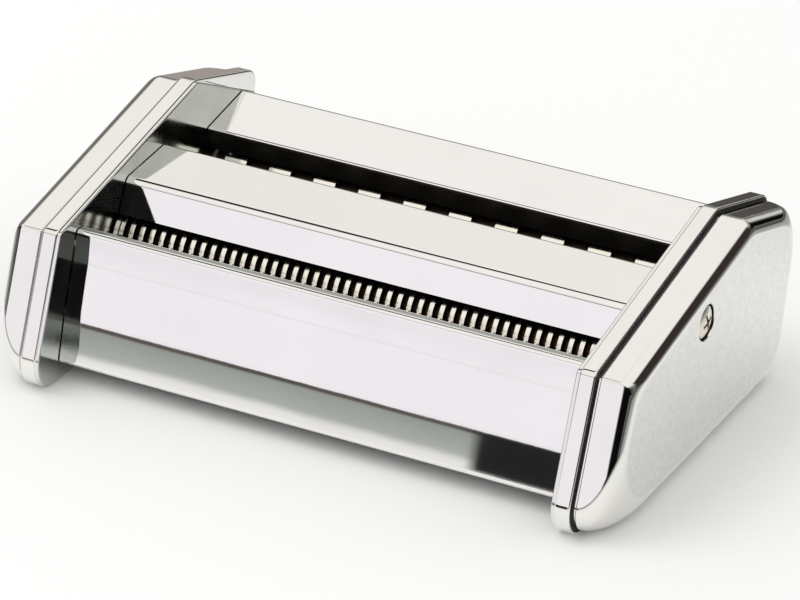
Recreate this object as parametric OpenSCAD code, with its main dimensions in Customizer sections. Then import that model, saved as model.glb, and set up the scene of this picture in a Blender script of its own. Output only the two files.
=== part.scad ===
// Twin cutter head of a hand-cranked pasta machine.
// X runs along the rollers, Y from front to back, Z up. Z = 0 is the table.
// The outline is drawn in a side frame (y, z) whose zero is the front fold of
// the end rims, and along_x() puts that frame into the part's own frame.

/* [End outline] */
// Height of the front fold above the table
fold_height = 42; // [36:0.5:50]
// Length of the sloping top, fold to peak
slope_length = 72.8; // [68:0.2:80]
// Rise of the sloping top, degrees
slope_angle = 11.6; // [8:0.1:14]
// Length of the top behind the peak
fall_length = 36.7; // [33:0.1:42]
// Fall of the top behind the peak, degrees
fall_angle = 16.8; // [12:0.1:20]
// Lean of the front edge, degrees
front_lean = 20; // [14:0.5:24]
// Lean of the back edge, degrees
back_lean = 10.4; // [6:0.1:14]
// Round of the lower front corner
front_round = 8; // [6:0.5:12]
// Round of the front fold
fold_round = 2; // [1.5:0.1:4]
// Round of the peak
peak_round = 6; // [4:0.5:10]
// Round of the upper back corner
back_round = 5; // [4:0.5:8]
// Round of the lower back corner
heel_round = 8; // [5:0.5:10]

/* [Ends] */
// Clear width between the two side plates
inner_width = 145.8; // [120:0.2:180]
// Thickness of a steel side plate
plate_t = 1; // [0.8:0.1:1.6]
// Step from the rim edge down to the plate edge
plate_step = 0.4; // [0.2:0.1:1]
// Fall of the plate edge behind the peak, degrees
plate_fall = 25.7; // [20:0.1:30]
// Width of the rim band
rim_w = 4.2; // [3.6:0.1:6]
// Wall thickness of the rim
rim_wall = 1.7; // [1.4:0.1:2]
// Width of the groove between rim and cap
groove_w = 1; // [0.8:0.1:2]
// Depth of the cap outline below the rim outline
cap_inset = 1.3; // [0.8:0.1:1.6]
// Width of the cap from groove to end face
cap_w = 9.2; // [8.7:0.1:14]
// Wall thickness of the cap
cap_wall = 1.5; // [1.2:0.1:2]
// Edge round between cap band and end face
cap_edge = 4; // [2.5:0.25:5]
// Reach of the cap lip into the rim
lip_reach = 1.6; // [1:0.1:2]

/* [Rollers] */
// Outer radius of the cutting ridges
ridge_r = 8.5; // [8:0.1:8.8]
// Radius of the groove floors
floor_r = 6; // [5.6:0.1:6.4]
// Pitch of the narrow cutters
narrow_pitch = 3.02; // [2.5:0.02:5]
// Pitch of the wide cutters
wide_pitch = 13.5; // [9:0.5:16]
// Shift of the narrow cutters to the right, in pitches
narrow_shift = 0.08; // [0:0.01:0.4]
// Shift of the wide cutters to the right, in pitches
wide_shift = 0.15; // [0:0.01:0.4]
// Side play between a ridge and its groove
ridge_play = 0.15; // [0.1:0.05:0.3]
// End play of a roller between the plates
end_play = 0.2; // [0.15:0.05:0.5]
// Rear narrow roller behind the front fold
narrow_setback = 37; // [35:0.1:39]
// Rear narrow roller below the front fold
narrow_drop = 16; // [15.5:0.1:17]
// Rear wide roller ahead of the upper back corner
wide_setback = 20.9; // [19:0.1:22]
// Rear wide roller below the front fold
wide_drop = 16; // [15:0.1:17]
// Radius of a plain journal
journal_r = 4; // [3.5:0.1:4.5]
// Radius of the socket end on a driven roller
socket_od_r = 5.8; // [5.5:0.1:6]
// Radius of the crank bore
socket_r = 4.1; // [3.5:0.1:4.2]
// Depth of the crank bore
socket_depth = 16; // [12:0.5:22]
// Running clearance in a bush, radial
run_clear = 0.05; // [0.02:0.01:0.1]
// Wall of a bush
bush_wall = 1.4; // [1.1:0.1:1.6]

/* [Gears] */
// Teeth of a gear, odd
gear_teeth = 13; // [11:2:15]
// Module of a gear
gear_module = 1.2; // [1.18:0.005:1.22]
// Face width of a gear
gear_w = 5.6; // [4.5:0.1:6]
// Play on each tooth flank
gear_play = 0.12; // [0.08:0.01:0.2]
// Radius of the shaft end that carries a gear
gear_shaft_r = 3.4; // [3:0.1:3.4]
// Depth of the flat on that shaft end
gear_flat = 0.8; // [0.6:0.1:1.2]

/* [Covers] */
// Sheet thickness of the covers
sheet_t = 0.8; // [0.6:0.1:1.2]
// Front lip behind the fold
front_lip_back = 8; // [7:0.1:9]
// Front lip below the fold
front_lip_drop = 2.4; // [1.5:0.1:3.5]
// Width of the flange behind the front lip
front_flange = 5.6; // [4.5:0.1:7]
// Gap under the front cover
front_gap = 5.4; // [4:0.2:9]
// Top of the centre cover above the narrow roller axis
centre_rise = 17.9; // [17:0.1:19]
// Height of the front face of the centre cover
centre_face = 8.6; // [7.6:0.1:9]
// Edge of the rear cover above the wide roller axis
rear_rise = 14.5; // [13.5:0.1:16]
// Top width of the rear cover
rear_top = 22.2; // [21:0.1:23]

/* [Combs] */
// Thickness of a stripping comb
comb_t = 0.8; // [0.6:0.1:1]
// Width of the comb spine
comb_spine = 6; // [4:0.2:7]
// Clearance of a comb finger on each side
comb_clear = 0.35; // [0.3:0.05:0.5]
// Where the combs touch the grooves, degrees below the axes
comb_angle = 50; // [45:1:60]

/* [Fasteners] */
// Radius of a tie rod
tie_r = 2.5; // [2.2:0.1:3]
// Radius of its threaded ends
tie_end_r = 2; // [1.5:0.1:2]
// Width across flats of the tie rod nuts
nut_af = 7; // [6:0.5:8]
// Cap screws behind the narrow roller axis
screw_back = 7; // [5:0.2:9]
// Cap screws above the narrow roller axis
screw_rise = 13; // [12.5:0.1:15]
// Radius of the cap screw head
screw_head_r = 4.2; // [3.5:0.1:4.5]
// Radius of the cap screw thread
screw_r = 1.9; // [1.5:0.1:2]

/* [Hidden] */
$fn = 96;

// Side frame: corners of the rim outline
fold = [0, 0];
peak = slope_length * [cos(slope_angle), sin(slope_angle)];
crest = peak + fall_length * [cos(fall_angle), -sin(fall_angle)];
heel = [crest[0] - (crest[1] + fold_height) * tan(back_lean), -fold_height];
toe = [-fold_height * tan(front_lean), -fold_height];
rim_corners = [toe, heel, crest, peak, fold];
rim_rounds = [front_round, heel_round, back_round, peak_round, fold_round];

// The plate falls away behind the peak and meets the back edge lower down
plate_run = (crest[0] - peak[0]) - (crest[1] - peak[1]) * tan(back_lean);
plate_drop = plate_run * tan(plate_fall) / (1 + tan(plate_fall) * tan(back_lean));
plate_crest = [peak[0] + plate_drop / tan(plate_fall), peak[1] - plate_drop];
plate_corners = [toe, heel, plate_crest, peak, fold];
plate_round = 4;
plate_rounds = [front_round, heel_round, plate_round, plate_round, fold_round];

// The part is centred between its foremost and rearmost points
foremost = fillet_centre(fold, toe, heel, front_round)[0] - front_round;
rearmost = fillet_centre(heel, crest, peak, back_round)[0] + back_round;
y_shift = -(foremost + rearmost) / 2;

// Stations along X, from the middle outwards
plate_x = inner_width / 2;
rim_x = plate_x + plate_t;
floor_x = rim_x + rim_wall;
band_x = rim_x + rim_w;
cap_x = band_x + groove_w;
face_x = cap_x + cap_w;
cap_in_x = face_x - cap_wall;
roller_x = plate_x - end_play;
collar_t = 1.3;
collar_x = floor_x + collar_t;
gear_gap = 0.9;
gear_x = collar_x + gear_gap;
gear_end_x = gear_x + gear_w;
clip_t = 0.7;
shaft_end = 0.6;
shaft_x = gear_end_x + clip_t + shaft_end;
socket_recess = 0.7;
socket_x = face_x - socket_recess;

// Cap loft: steps of the edge round and of the band, play of the lip
cap_steps = 6;
band_steps = 3;
lip_play = 0.15;
// Lower front round at the end face, as a share of the front edge
cap_toe = 0.46;
// Growth of each corner round towards the end face: toe, heel, crest, peak, fold
cap_grow = [cap_toe * norm(fold - toe) - front_round, 8, 12, 12, 14];
// Corners that grow across the whole band, not only in the edge round
cap_early = [true, false, true, false, false];

// Axes of the rollers, front ones set back along the slope
pair_gap = gear_teeth * gear_module;
pair_dir = [cos(slope_angle), sin(slope_angle)];
narrow_rear = [narrow_setback, -narrow_drop];
narrow_front = narrow_rear - pair_gap * pair_dir;
wide_rear = [crest[0] - wide_setback, -wide_drop];
wide_front = wide_rear - pair_gap * pair_dir;
plain_axes = [narrow_front, wide_front];
drive_axes = [narrow_rear, wide_rear];

// Bush sizes
plain_bore = journal_r + run_clear;
plain_od = plain_bore + bush_wall;
drive_bore = socket_od_r + run_clear;
drive_od = drive_bore + bush_wall;
collar = 1;
seat = 0.02;

// Outlines of the covers, outer face from end to end
// Front: flange behind the lip, then a face drawn in shares of its own height, then a hem
front_lip = [front_lip_back, -front_lip_drop];
front_face_h = fold_height - front_lip_drop - front_gap;
front_face = [[0.27, 0.07], [0.64, 0.19], [1, 0.2774]];
front_face_round = 1.75 * front_face_h;
front_flange_end = front_lip + [front_flange, -0.05 * front_flange];
front_tuck = [3, -6.8];
front_hem = [4.8, -1.2];
front_face_pts = [for (f = front_face) front_lip - front_face_h * [f[1], f[0]]];
front_cover_path = concat(
  [front_flange_end + front_tuck, front_flange_end, front_lip],
  front_face_pts, [front_face_pts[2] + front_hem]);
front_rounds = [1.2, 1.3, front_face_round, front_face_round, 1];

// Centre: face over the narrow pair, top, then a leg down towards the wide pair
centre_face_lean = 25;
centre_ridge = narrow_rear + [-3.5, centre_rise];
centre_edge = wide_front + [-16.7, 22.6];
centre_leg = [10, -12.9];
centre_cover_path = [
  centre_ridge - centre_face * [sin(centre_face_lean), cos(centre_face_lean)],
  centre_ridge, centre_edge, centre_edge + centre_leg
];
centre_rounds = [2.4, 1];

// Rear: lip under the front edge, top, then the back down to the same gap as the front
rear_top_angle = 9.9;
rear_back_lean = 5;
rear_lip = [2.2, -6.5];
rear_edge = wide_rear + [-9.2, rear_rise];
rear_crest = rear_edge + rear_top * [cos(rear_top_angle), sin(rear_top_angle)];
rear_back_h = rear_crest[1] + fold_height - front_gap;
rear_cover_path = [
  rear_edge + rear_lip, rear_edge, rear_crest, rear_crest - rear_back_h * [tan(rear_back_lean), 1]
];
rear_rounds = [1, 2];

// Fixing points in the side frame
front_rod = front_face_pts[1] + [5.5, -5.7];
centre_rod = (narrow_rear + wide_front) / 2 + [-0.6, 3.6];
rear_rod = wide_rear + [8, 11];
rods = [front_rod, centre_rod, rear_rod];
rod_shoulder = 1;
screw_at = narrow_rear + [screw_back, screw_rise];
screw_head_h = 1.6;
screw_hole_play = 0.3;
recess_d = 1;
recess_w = 1;
post_r = 3.2;
post_floor = 1.5;
nut_t = 3;
thread_end = 0.5;

// Combs: clearance to the groove floor and to the ridge tips, reach past the touching point
comb_lift = 0.3;
comb_tip = 0.4;
comb_reach = 2;
tab_step = 0.5;
comb_floor = floor_r + comb_lift;
comb_back = sqrt(pow(ridge_r + comb_tip, 2) - pow(comb_floor, 2));

// Roller details: plain end, clip grooves and clips, slot at the bottom of the crank bore
ridge_margin = 0.5;
gear_seat = 0.3;
groove_depth = 0.5;
clip_play = 0.05;
clip_rim = 1;
clip_gap = 2.4;
slot_w = 3;
slot_depth = 7;
socket_hole_play = 0.8;

// Spare length of cutting tools, larger than any piece they cut
past = 1;
far = 40;

// Plane geometry
function unit(v) = v / norm(v);
function half_angle(a, p, b) = acos(unit(a - p) * unit(b - p)) / 2;
function bisector(a, p, b) = unit(unit(a - p) + unit(b - p));
function fillet_centre(a, p, b, r) = p + bisector(a, p, b) * r / sin(half_angle(a, p, b));
function turn(d) = d > 180 ? d - 360 : d < -180 ? d + 360 : d;
function heading(v) = atan2(v[1], v[0]);

// Points of the arc that rounds corner p between its neighbours a and b
function corner_arc(a, p, b, r, n) =
  let (c = fillet_centre(a, p, b, r))
  let (t = r / tan(half_angle(a, p, b)))
  let (h0 = heading(p + unit(a - p) * t - c))
  let (dh = turn(heading(p + unit(b - p) * t - c) - h0))
  [for (i = [0 : n]) c + r * [cos(h0 + dh * i / n), sin(h0 + dh * i / n)]];

// Closed outline: corners moved inwards by d, rounds shrunk to match
function moved_in(pts, d) =
  let (m = len(pts))
  [for (i = [0 : m - 1])
    let (a = pts[(i + m - 1) % m], b = pts[(i + 1) % m])
    pts[i] + bisector(a, pts[i], b) * d / sin(half_angle(a, pts[i], b))];

function outline(pts, rounds, d = 0, n = 8) =
  let (q = moved_in(pts, d), m = len(pts))
  [for (i = [0 : m - 1])
    each corner_arc(q[(i + m - 1) % m], q[i], q[(i + 1) % m], max(rounds[i] - d, 0.3), n)];

// Open sheet: rounded path and its copy moved sideways by the thickness
function bent_path(pts, rounds, n) =
  let (m = len(pts))
  concat([pts[0]],
    [for (i = [1 : m - 2]) each corner_arc(pts[i - 1], pts[i], pts[i + 1], rounds[i - 1], n)],
    [pts[m - 1]]);

function left_of(v) = [-v[1], v[0]];

function path_normal(p, i) =
  let (a = left_of(unit(p[max(i, 1)] - p[max(i, 1) - 1])))
  let (j = min(i + 1, len(p) - 1))
  let (b = left_of(unit(p[j] - p[j - 1])))
  (a + b) / (1 + a * b);

function sheet(pts, rounds, t, n = 6) =
  let (p = bent_path(pts, rounds, n), m = len(p))
  concat(p, [for (i = [m - 1 : -1 : 0]) p[i] + t * path_normal(p, i)]);

// Involute gear outline with one tooth pointing along +x
function involute(rb, t) = rb * sqrt(1 + t * t);
function involute_turn(t) = t * 180 / PI - atan(t);

function gear_outline(z, m, play) =
  let (rp = z * m / 2, rb = rp * cos(20), ra = rp + m, rf = rp - 1.25 * m)
  let (tp = sqrt(pow(rp / rb, 2) - 1), ta = sqrt(pow(ra / rb, 2) - 1))
  let (half = 90 / z - play / rp * 180 / PI + involute_turn(tp))
  [for (k = [0 : z - 1])
    let (c = 360 * k / z)
    each concat(
      [rf * [cos(c - half), sin(c - half)]],
      [for (i = [0 : 4])
        let (t = ta * i / 4, h = c - half + involute_turn(t))
        involute(rb, t) * [cos(h), sin(h)]],
      [for (i = [4 : -1 : 0])
        let (t = ta * i / 4, h = c + half - involute_turn(t))
        involute(rb, t) * [cos(h), sin(h)]],
      [rf * [cos(c + half), sin(c + half)]])];

// Ridge centres of a roller, shifted to the right by a share of the pitch
function ridge_width(pitch) = pitch / 2 - ridge_play;
function ridge_centres(pitch, shift) =
  let (m = floor((roller_x - ridge_margin) / pitch) + 1)
  [for (k = [-m : m])
    let (c = (k + shift) * pitch)
    if (abs(c) - ridge_width(pitch) / 2 < roller_x - ridge_margin) c];

// Groove centres that lie wholly inside the roller
function groove_centres(pitch, shift) =
  [for (c = ridge_centres(pitch, shift))
    if (c + pitch / 2 + pitch / 4 < roller_x) c + pitch / 2];

// Half outline of a roller, radius against station along X
function roller_outline(pitch, shift, driven) =
  let (w = ridge_width(pitch) / 2, in = driven ? socket_od_r : journal_r)
  let (left = driven ? -socket_x : -shaft_x)
  concat(
    [[0, left], [in, left], [in, -roller_x], [floor_r, -roller_x]],
    [for (c = ridge_centres(pitch, shift))
      let (a = max(c - w, -roller_x), b = min(c + w, roller_x))
      each [[floor_r, a], [ridge_r, a], [ridge_r, b], [floor_r, b]]],
    [[floor_r, roller_x], [journal_r, roller_x], [journal_r, collar_x + gear_seat],
     [gear_shaft_r, collar_x + gear_seat], [gear_shaft_r, shaft_x], [0, shaft_x]]);

// Side frame to part frame
module at(p, x = 0) {
  translate([x, p[0] + y_shift, p[1] + fold_height]) children();
}

module along_x(x0, x1) {
  at([0, 0], x0) rotate([90, 0, 90]) linear_extrude(x1 - x0) children();
}

module rod(p, x0, x1, r) {
  at(p, x0) rotate([0, 90, 0]) cylinder(h = x1 - x0, r = r);
}

module ring(p, x0, x1, r_in, r_out) {
  difference() {
    rod(p, x0, x1, r_out);
    rod(p, x0 - past, x1 + past, r_in);
  }
}

// Holes for the bushes, on the side where the driven rollers have sockets or not
module bush_holes(x0, x1, socket_side) {
  for (p = plain_axes) rod(p, x0, x1, plain_od + seat);
  for (p = drive_axes) rod(p, x0, x1, (socket_side ? drive_od : plain_od) + seat);
}

// End rim: a shallow tray with its floor towards the rollers
module rim(socket_side) {
  difference() {
    along_x(rim_x, band_x) polygon(outline(rim_corners, rim_rounds));
    along_x(floor_x, band_x + past) polygon(outline(rim_corners, rim_rounds, rim_wall));
    bush_holes(rim_x - past, floor_x + past, socket_side);
    for (p = rods) rod(p, rim_x - past, floor_x + past, tie_end_r + seat);
    rod(screw_at, rim_x - past, floor_x + past, screw_r + seat);
  }
}

// Steel side plate: carries the bushes and the comb ends
module side_plate(socket_side) {
  difference() {
    along_x(plate_x, rim_x) polygon(outline(plate_corners, plate_rounds, plate_step));
    bush_holes(plate_x - past, rim_x + past, socket_side);
    for (p = rods) rod(p, plate_x - past, rim_x + past, tie_end_r + seat);
    for (p = plain_axes) comb_seat(p, 1);
    for (p = drive_axes) comb_seat(p, -1);
  }
}

// Outer cap: one lofted shell whose stepped lip sits inside the rim
// The end face is rounder at its corners than the band, and toe and crest grow across the band too
function cap_ring(x, inset, share = 0) =
  let (across = pow(max(x - cap_x, 0) / cap_w, 2))
  let (rounds = [for (i = [0 : 4]) rim_rounds[i] + cap_grow[i] * (cap_early[i] ? across : share)])
  [for (p = outline(rim_corners, rounds, inset)) [x, p[0] + y_shift, p[1] + fold_height]];

function cap_edge_rings(x_end, inset, edge) =
  [for (i = [0 : cap_steps])
    let (h = 90 * i / cap_steps)
    cap_ring(x_end - edge * (1 - sin(h)), inset + edge * (1 - cos(h)), 1 - cos(h))];

function backwards(list) = [for (i = [len(list) - 1 : -1 : 0]) list[i]];

module cap_shell() {
  lip_x = band_x - lip_reach;
  lip_out = rim_wall + lip_play;
  wall_in = cap_inset + cap_wall;
  band_step = (cap_w - cap_edge) / band_steps;
  band = [for (i = [0 : band_steps - 1]) cap_ring(cap_x + i * band_step, cap_inset)];
  outer = concat(
    [cap_ring(lip_x, lip_out), cap_ring(cap_x, lip_out)],
    band, cap_edge_rings(face_x, cap_inset, cap_edge));
  inner = concat(
    backwards(cap_edge_rings(cap_in_x, wall_in, cap_edge - cap_wall)),
    [cap_ring(lip_x, wall_in)]);
  rings = concat(outer, inner);
  n = len(rings[0]);
  m = len(rings);
  sides = [for (i = [0 : m - 1], j = [0 : n - 1])
    let (a = i * n, b = (i + 1) % m * n, k = (j + 1) % n)
    if (i != len(outer) - 1) [a + j, b + j, b + k, a + k]];
  end_face = [for (j = [n - 1 : -1 : 0]) (len(outer) - 1) * n + j];
  inner_face = [for (j = [0 : n - 1]) len(outer) * n + j];
  polyhedron([for (ring = rings) each ring], concat(sides, [end_face, inner_face]));
}

module end_cap(socket_side) {
  difference() {
    cap_shell();
    rod(screw_at, cap_in_x - past, face_x + past, screw_r + screw_hole_play);
    if (socket_side) for (p = drive_axes)
      rod(p, cap_in_x - past, face_x + past, socket_od_r + socket_hole_play);
  }
}

// Folded sheet covers between the side plates
module front_cover() {
  color("gainsboro") along_x(-plate_x, plate_x)
    polygon(sheet(front_cover_path, front_rounds, sheet_t));
}

module centre_cover() {
  color("gainsboro") along_x(-plate_x, plate_x)
    polygon(sheet(centre_cover_path, centre_rounds, -sheet_t));
}

module rear_cover() {
  color("gainsboro") along_x(-plate_x, plate_x)
    polygon(sheet(rear_cover_path, rear_rounds, -sheet_t));
}

// Tie rods with shouldered ends, and their nuts
module tie_rod(p) {
  color("silver") {
    rod(p, -plate_x, plate_x, tie_r);
    rod(p, plate_x - rod_shoulder, floor_x + nut_t + thread_end, tie_end_r);
    rod(p, -floor_x - nut_t - thread_end, rod_shoulder - plate_x, tie_end_r);
  }
}

module nut(p) {
  difference() {
    at(p, floor_x) rotate([0, 90, 0]) cylinder(h = nut_t, r = nut_af / 2 / cos(30), $fn = 6);
    rod(p, floor_x - past, floor_x + nut_t + past, tie_end_r + seat);
  }
}

module tie_rod_nuts() {
  color("silver") for (p = rods) {
    nut(p);
    mirror([1, 0, 0]) nut(p);
  }
}

// Post between rim and cap, tapped for the cap screw
module cap_post() {
  difference() {
    union() {
      rod(screw_at, floor_x, cap_in_x, post_r);
      rod(screw_at, rim_x, floor_x + post_floor / 2, screw_r);
    }
    rod(screw_at, floor_x + post_floor, cap_in_x + past, screw_r + seat);
  }
}

// Pan head screw with a crossed recess
module cap_screw() {
  difference() {
    union() {
      rod(screw_at, face_x, face_x + screw_head_h, screw_head_r);
      rod(screw_at, floor_x + 2 * post_floor, face_x + screw_head_h / 2, screw_r);
    }
    for (a = [20, 110])
      at(screw_at, face_x + screw_head_h) rotate([a, 0, 0])
        cube([2 * recess_d, recess_w, 1.15 * screw_head_r], center = true);
  }
}

module cap_screws() {
  color("silver") {
    cap_screw();
    mirror([1, 0, 0]) cap_screw();
  }
}

// Stripping combs: drawn flat, then laid against the underside of the grooves
// side is 1 for a front roller and -1 for a rear one
module comb_frame(p, side) {
  at(p) rotate([slope_angle, 0, 0]) mirror([0, side < 0 ? 1 : 0, 0])
    rotate([-comb_angle, 0, 0]) translate([0, comb_floor + comb_t, 0]) rotate([90, 0, 0]) children();
}

module comb_seat(p, side) {
  comb_frame(p, side) translate([plate_x - past, -comb_back - comb_spine + tab_step - seat, -seat])
    cube([plate_t + 2 * past, comb_spine - 2 * tab_step + 2 * seat, comb_t + 2 * seat]);
}

module comb(p, side, pitch, shift) {
  finger = ridge_width(pitch) + 2 * ridge_play - 2 * comb_clear;
  color("lightsteelblue") comb_frame(p, side) linear_extrude(comb_t) {
    translate([-plate_x, -comb_back - comb_spine]) square([2 * plate_x, comb_spine]);
    translate([-rim_x, -comb_back - comb_spine + tab_step])
      square([2 * rim_x, comb_spine - 2 * tab_step]);
    for (c = groove_centres(pitch, shift))
      translate([c - finger / 2, -comb_back - tab_step]) square([finger, comb_back + comb_reach]);
  }
}

module narrow_front_comb() { comb(narrow_front, 1, narrow_pitch, narrow_shift + 0.5); }
module narrow_rear_comb() { comb(narrow_rear, -1, narrow_pitch, narrow_shift); }
module wide_front_comb() { comb(wide_front, 1, wide_pitch, wide_shift + 0.5); }
module wide_rear_comb() { comb(wide_rear, -1, wide_pitch, wide_shift); }

// Collared bushes pressed through plate and rim
module bush(p, bore, od) {
  ring(p, plate_x, collar_x, bore, od);
  ring(p, floor_x, collar_x, od - bush_wall / 2, od + collar);
}

module plain_bushes() {
  color("ivory") {
    for (p = concat(plain_axes, drive_axes)) bush(p, plain_bore, plain_od);
    mirror([1, 0, 0]) for (p = plain_axes) bush(p, plain_bore, plain_od);
  }
}

module drive_bushes() {
  color("ivory") mirror([1, 0, 0]) for (p = drive_axes) bush(p, drive_bore, drive_od);
}

// Cutting roller: ridges, journals, gear seat with a flat, clip grooves
module roller(p, pitch, shift, driven) {
  left_r = driven ? socket_od_r : journal_r;
  color("whitesmoke") difference() {
    at(p) rotate([0, 90, 0]) rotate_extrude() polygon(roller_outline(pitch, shift, driven));
    at(p, gear_x - gear_seat) translate([0, -far / 2, gear_shaft_r - gear_flat]) cube(far);
    clip_groove(p, gear_end_x + clip_play, gear_shaft_r);
    mirror([1, 0, 0]) clip_groove(p, collar_x + clip_play, left_r);
    if (driven) {
      rod(p, -socket_x - past, socket_depth - socket_x, socket_r);
      at(p, socket_depth - socket_x) cube([2 * slot_depth, slot_w, 1.8 * socket_r], center = true);
    }
  }
}

module clip_groove(p, x, r) {
  ring(p, x, x + clip_t + 2 * clip_play, r - groove_depth, r + clip_rim);
}

module narrow_front_roller() { roller(narrow_front, narrow_pitch, narrow_shift + 0.5, false); }
module narrow_rear_roller() { roller(narrow_rear, narrow_pitch, narrow_shift, true); }
module wide_front_roller() { roller(wide_front, wide_pitch, wide_shift + 0.5, false); }
module wide_rear_roller() { roller(wide_rear, wide_pitch, wide_shift, true); }

// Gear on the flatted shaft end; odd teeth mesh with both turned the same way
module gear(p) {
  color("goldenrod") difference() {
    at(p, gear_x) rotate([slope_angle, 0, 0]) rotate([90, 0, 90])
      linear_extrude(gear_w) polygon(gear_outline(gear_teeth, gear_module, gear_play));
    difference() {
      rod(p, gear_x - past, gear_end_x + past, gear_shaft_r + seat);
      at(p, gear_x - 2 * past) translate([0, -far / 2, gear_shaft_r - gear_flat + seat]) cube(far);
    }
  }
}

module narrow_front_gear() { gear(narrow_front); }
module narrow_rear_gear() { gear(narrow_rear); }
module wide_front_gear() { gear(wide_front); }
module wide_rear_gear() { gear(wide_rear); }

// Spring clips in the shaft grooves, open at the bottom
module clip(p, x, r) {
  difference() {
    ring(p, x, x + clip_t, r - groove_depth + seat, r + clip_rim);
    at(p, x - past) translate([0, -clip_gap / 2, -far]) cube([clip_t + 2 * past, clip_gap, far]);
  }
}

module clips(p, driven) {
  color("dimgray") {
    clip(p, gear_end_x + 2 * clip_play, gear_shaft_r);
    mirror([1, 0, 0]) clip(p, collar_x + 2 * clip_play, driven ? socket_od_r : journal_r);
  }
}

module narrow_front_clips() { clips(narrow_front, false); }
module narrow_rear_clips() { clips(narrow_rear, true); }
module wide_front_clips() { clips(wide_front, false); }
module wide_rear_clips() { clips(wide_rear, true); }

// Right-hand pieces are drawn as they stand, left-hand ones are mirrored
module right_rim() { color("lightgray") rim(false); }
module left_rim() { color("lightgray") mirror([1, 0, 0]) rim(true); }
module right_side_plate() { color("silver") side_plate(false); }
module left_side_plate() { color("silver") mirror([1, 0, 0]) side_plate(true); }
module right_end_cap() { color("lightgray") end_cap(false); }
module left_end_cap() { color("lightgray") mirror([1, 0, 0]) end_cap(true); }
module right_cap_post() { color("silver") cap_post(); }
module left_cap_post() { color("silver") mirror([1, 0, 0]) cap_post(); }
module front_tie_rod() { tie_rod(front_rod); }
module centre_tie_rod() { tie_rod(centre_rod); }
module rear_tie_rod() { tie_rod(rear_rod); }

left_rim();
right_rim();
left_side_plate();
right_side_plate();
left_end_cap();
right_end_cap();
front_cover();
centre_cover();
rear_cover();
front_tie_rod();
centre_tie_rod();
rear_tie_rod();
tie_rod_nuts();
left_cap_post();
right_cap_post();
cap_screws();
narrow_front_comb();
narrow_rear_comb();
wide_front_comb();
wide_rear_comb();
plain_bushes();
drive_bushes();
narrow_front_roller();
narrow_front_gear();
narrow_front_clips();
narrow_rear_roller();
narrow_rear_gear();
narrow_rear_clips();
wide_front_roller();
wide_front_gear();
wide_front_clips();
wide_rear_roller();
wide_rear_gear();
wide_rear_clips();
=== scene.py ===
"""Looks of the twin cutter head of a hand-cranked pasta machine.

Chrome ends and folded covers, two geared pairs of cutting rollers with their
stripping combs, the small hardware, and a plain studio. Sizes are in mm, the
side frame (y, z) has its zero at the front fold of the end rims, and meshes
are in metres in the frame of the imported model.
"""

import logging
import math
from collections.abc import Iterable, Sequence
from dataclasses import dataclass
from enum import Enum
from functools import partial
from typing import ClassVar

import bmesh
import bpy
from bpy.types import ID, Material, Mesh, NodeSocket, NodeTree, Object
from bpy.types import bpy_prop_collection
from mathutils import Matrix, Vector


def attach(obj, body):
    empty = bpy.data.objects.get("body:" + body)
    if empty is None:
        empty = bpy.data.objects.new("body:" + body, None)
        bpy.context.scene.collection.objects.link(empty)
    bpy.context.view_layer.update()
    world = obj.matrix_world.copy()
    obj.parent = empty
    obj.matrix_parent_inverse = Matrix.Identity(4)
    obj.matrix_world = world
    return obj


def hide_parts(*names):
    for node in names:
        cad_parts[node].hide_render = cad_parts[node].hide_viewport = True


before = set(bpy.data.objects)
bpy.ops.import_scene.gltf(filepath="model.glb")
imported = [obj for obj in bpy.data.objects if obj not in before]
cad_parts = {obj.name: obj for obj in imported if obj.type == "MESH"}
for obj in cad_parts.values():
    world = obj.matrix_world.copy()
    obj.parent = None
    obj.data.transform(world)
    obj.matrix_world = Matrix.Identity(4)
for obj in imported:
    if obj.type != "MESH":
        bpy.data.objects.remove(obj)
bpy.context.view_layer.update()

MM = 0.001
HOLD = 0.4  # mm from a round to the loop that keeps the flat beside it flat
CREASE = 35.0  # degrees above which an edge is sharp
ROUND = 72  # steps round a roller

# Types of node that are used more than once
MATH, VECTOR, MIX = "ShaderNodeMath", "ShaderNodeVectorMath", "ShaderNodeMix"
RANGE, RAMP, NOISE = "ShaderNodeMapRange", "ShaderNodeValToRGB", "ShaderNodeTexNoise"
SPLIT, JOIN, BUMP = "ShaderNodeSeparateXYZ", "ShaderNodeCombineXYZ", "ShaderNodeBump"
COORDS, PATH, PAINT = "ShaderNodeTexCoord", "ShaderNodeLightPath", "GeometryNodeSetMaterial"

log = logging.getLogger("cutter_head")

Ring = list[bmesh.types.BMVert]
Profile = list[tuple[float, float]]  # station along X and inset or radius
Stops = tuple[tuple[float, str], ...]
Triple = tuple[float, float, float]
# Colour of each card, and its windows: lower bound, upper bound and softness
Cards = tuple[tuple[str, dict[str, Triple]], ...]


class End(Enum):
    """The two ends of the head, by the sign of X."""

    LEFT = -1
    RIGHT = 1


class Cutter(Enum):
    """The two cutters, by the pitch of their ridges in mm and their shift in pitches."""

    NARROW = (3.02, 0.08)
    WIDE = (13.5, 0.15)

    @property
    def pitch(self) -> float:
        """Return the distance from ridge to ridge."""
        return self.value[0]

    @property
    def shift(self) -> float:
        """Return the shift of the ridges to the right."""
        return self.value[1]


class Seat(Enum):
    """Place of a roller in its pair, by the further shift of its ridges in pitches."""

    FRONT = 0.5
    REAR = 0.0


ROLLERS = [(cutter, seat) for cutter in Cutter for seat in Seat]


def hex_linear(code: str) -> tuple[float, float, float, float]:
    """Turn an sRGB hex colour into linear RGBA.

    Args:
        code: six hex digits.

    Returns:
        Red, green, blue and alpha for a colour socket.
    """
    parts = [int(code[i : i + 2], 16) / 255 for i in (0, 2, 4)]
    r, g, b = (c / 12.92 if c <= 0.04045 else ((c + 0.055) / 1.055) ** 2.4 for c in parts)
    return r, g, b, 1.0


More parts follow.
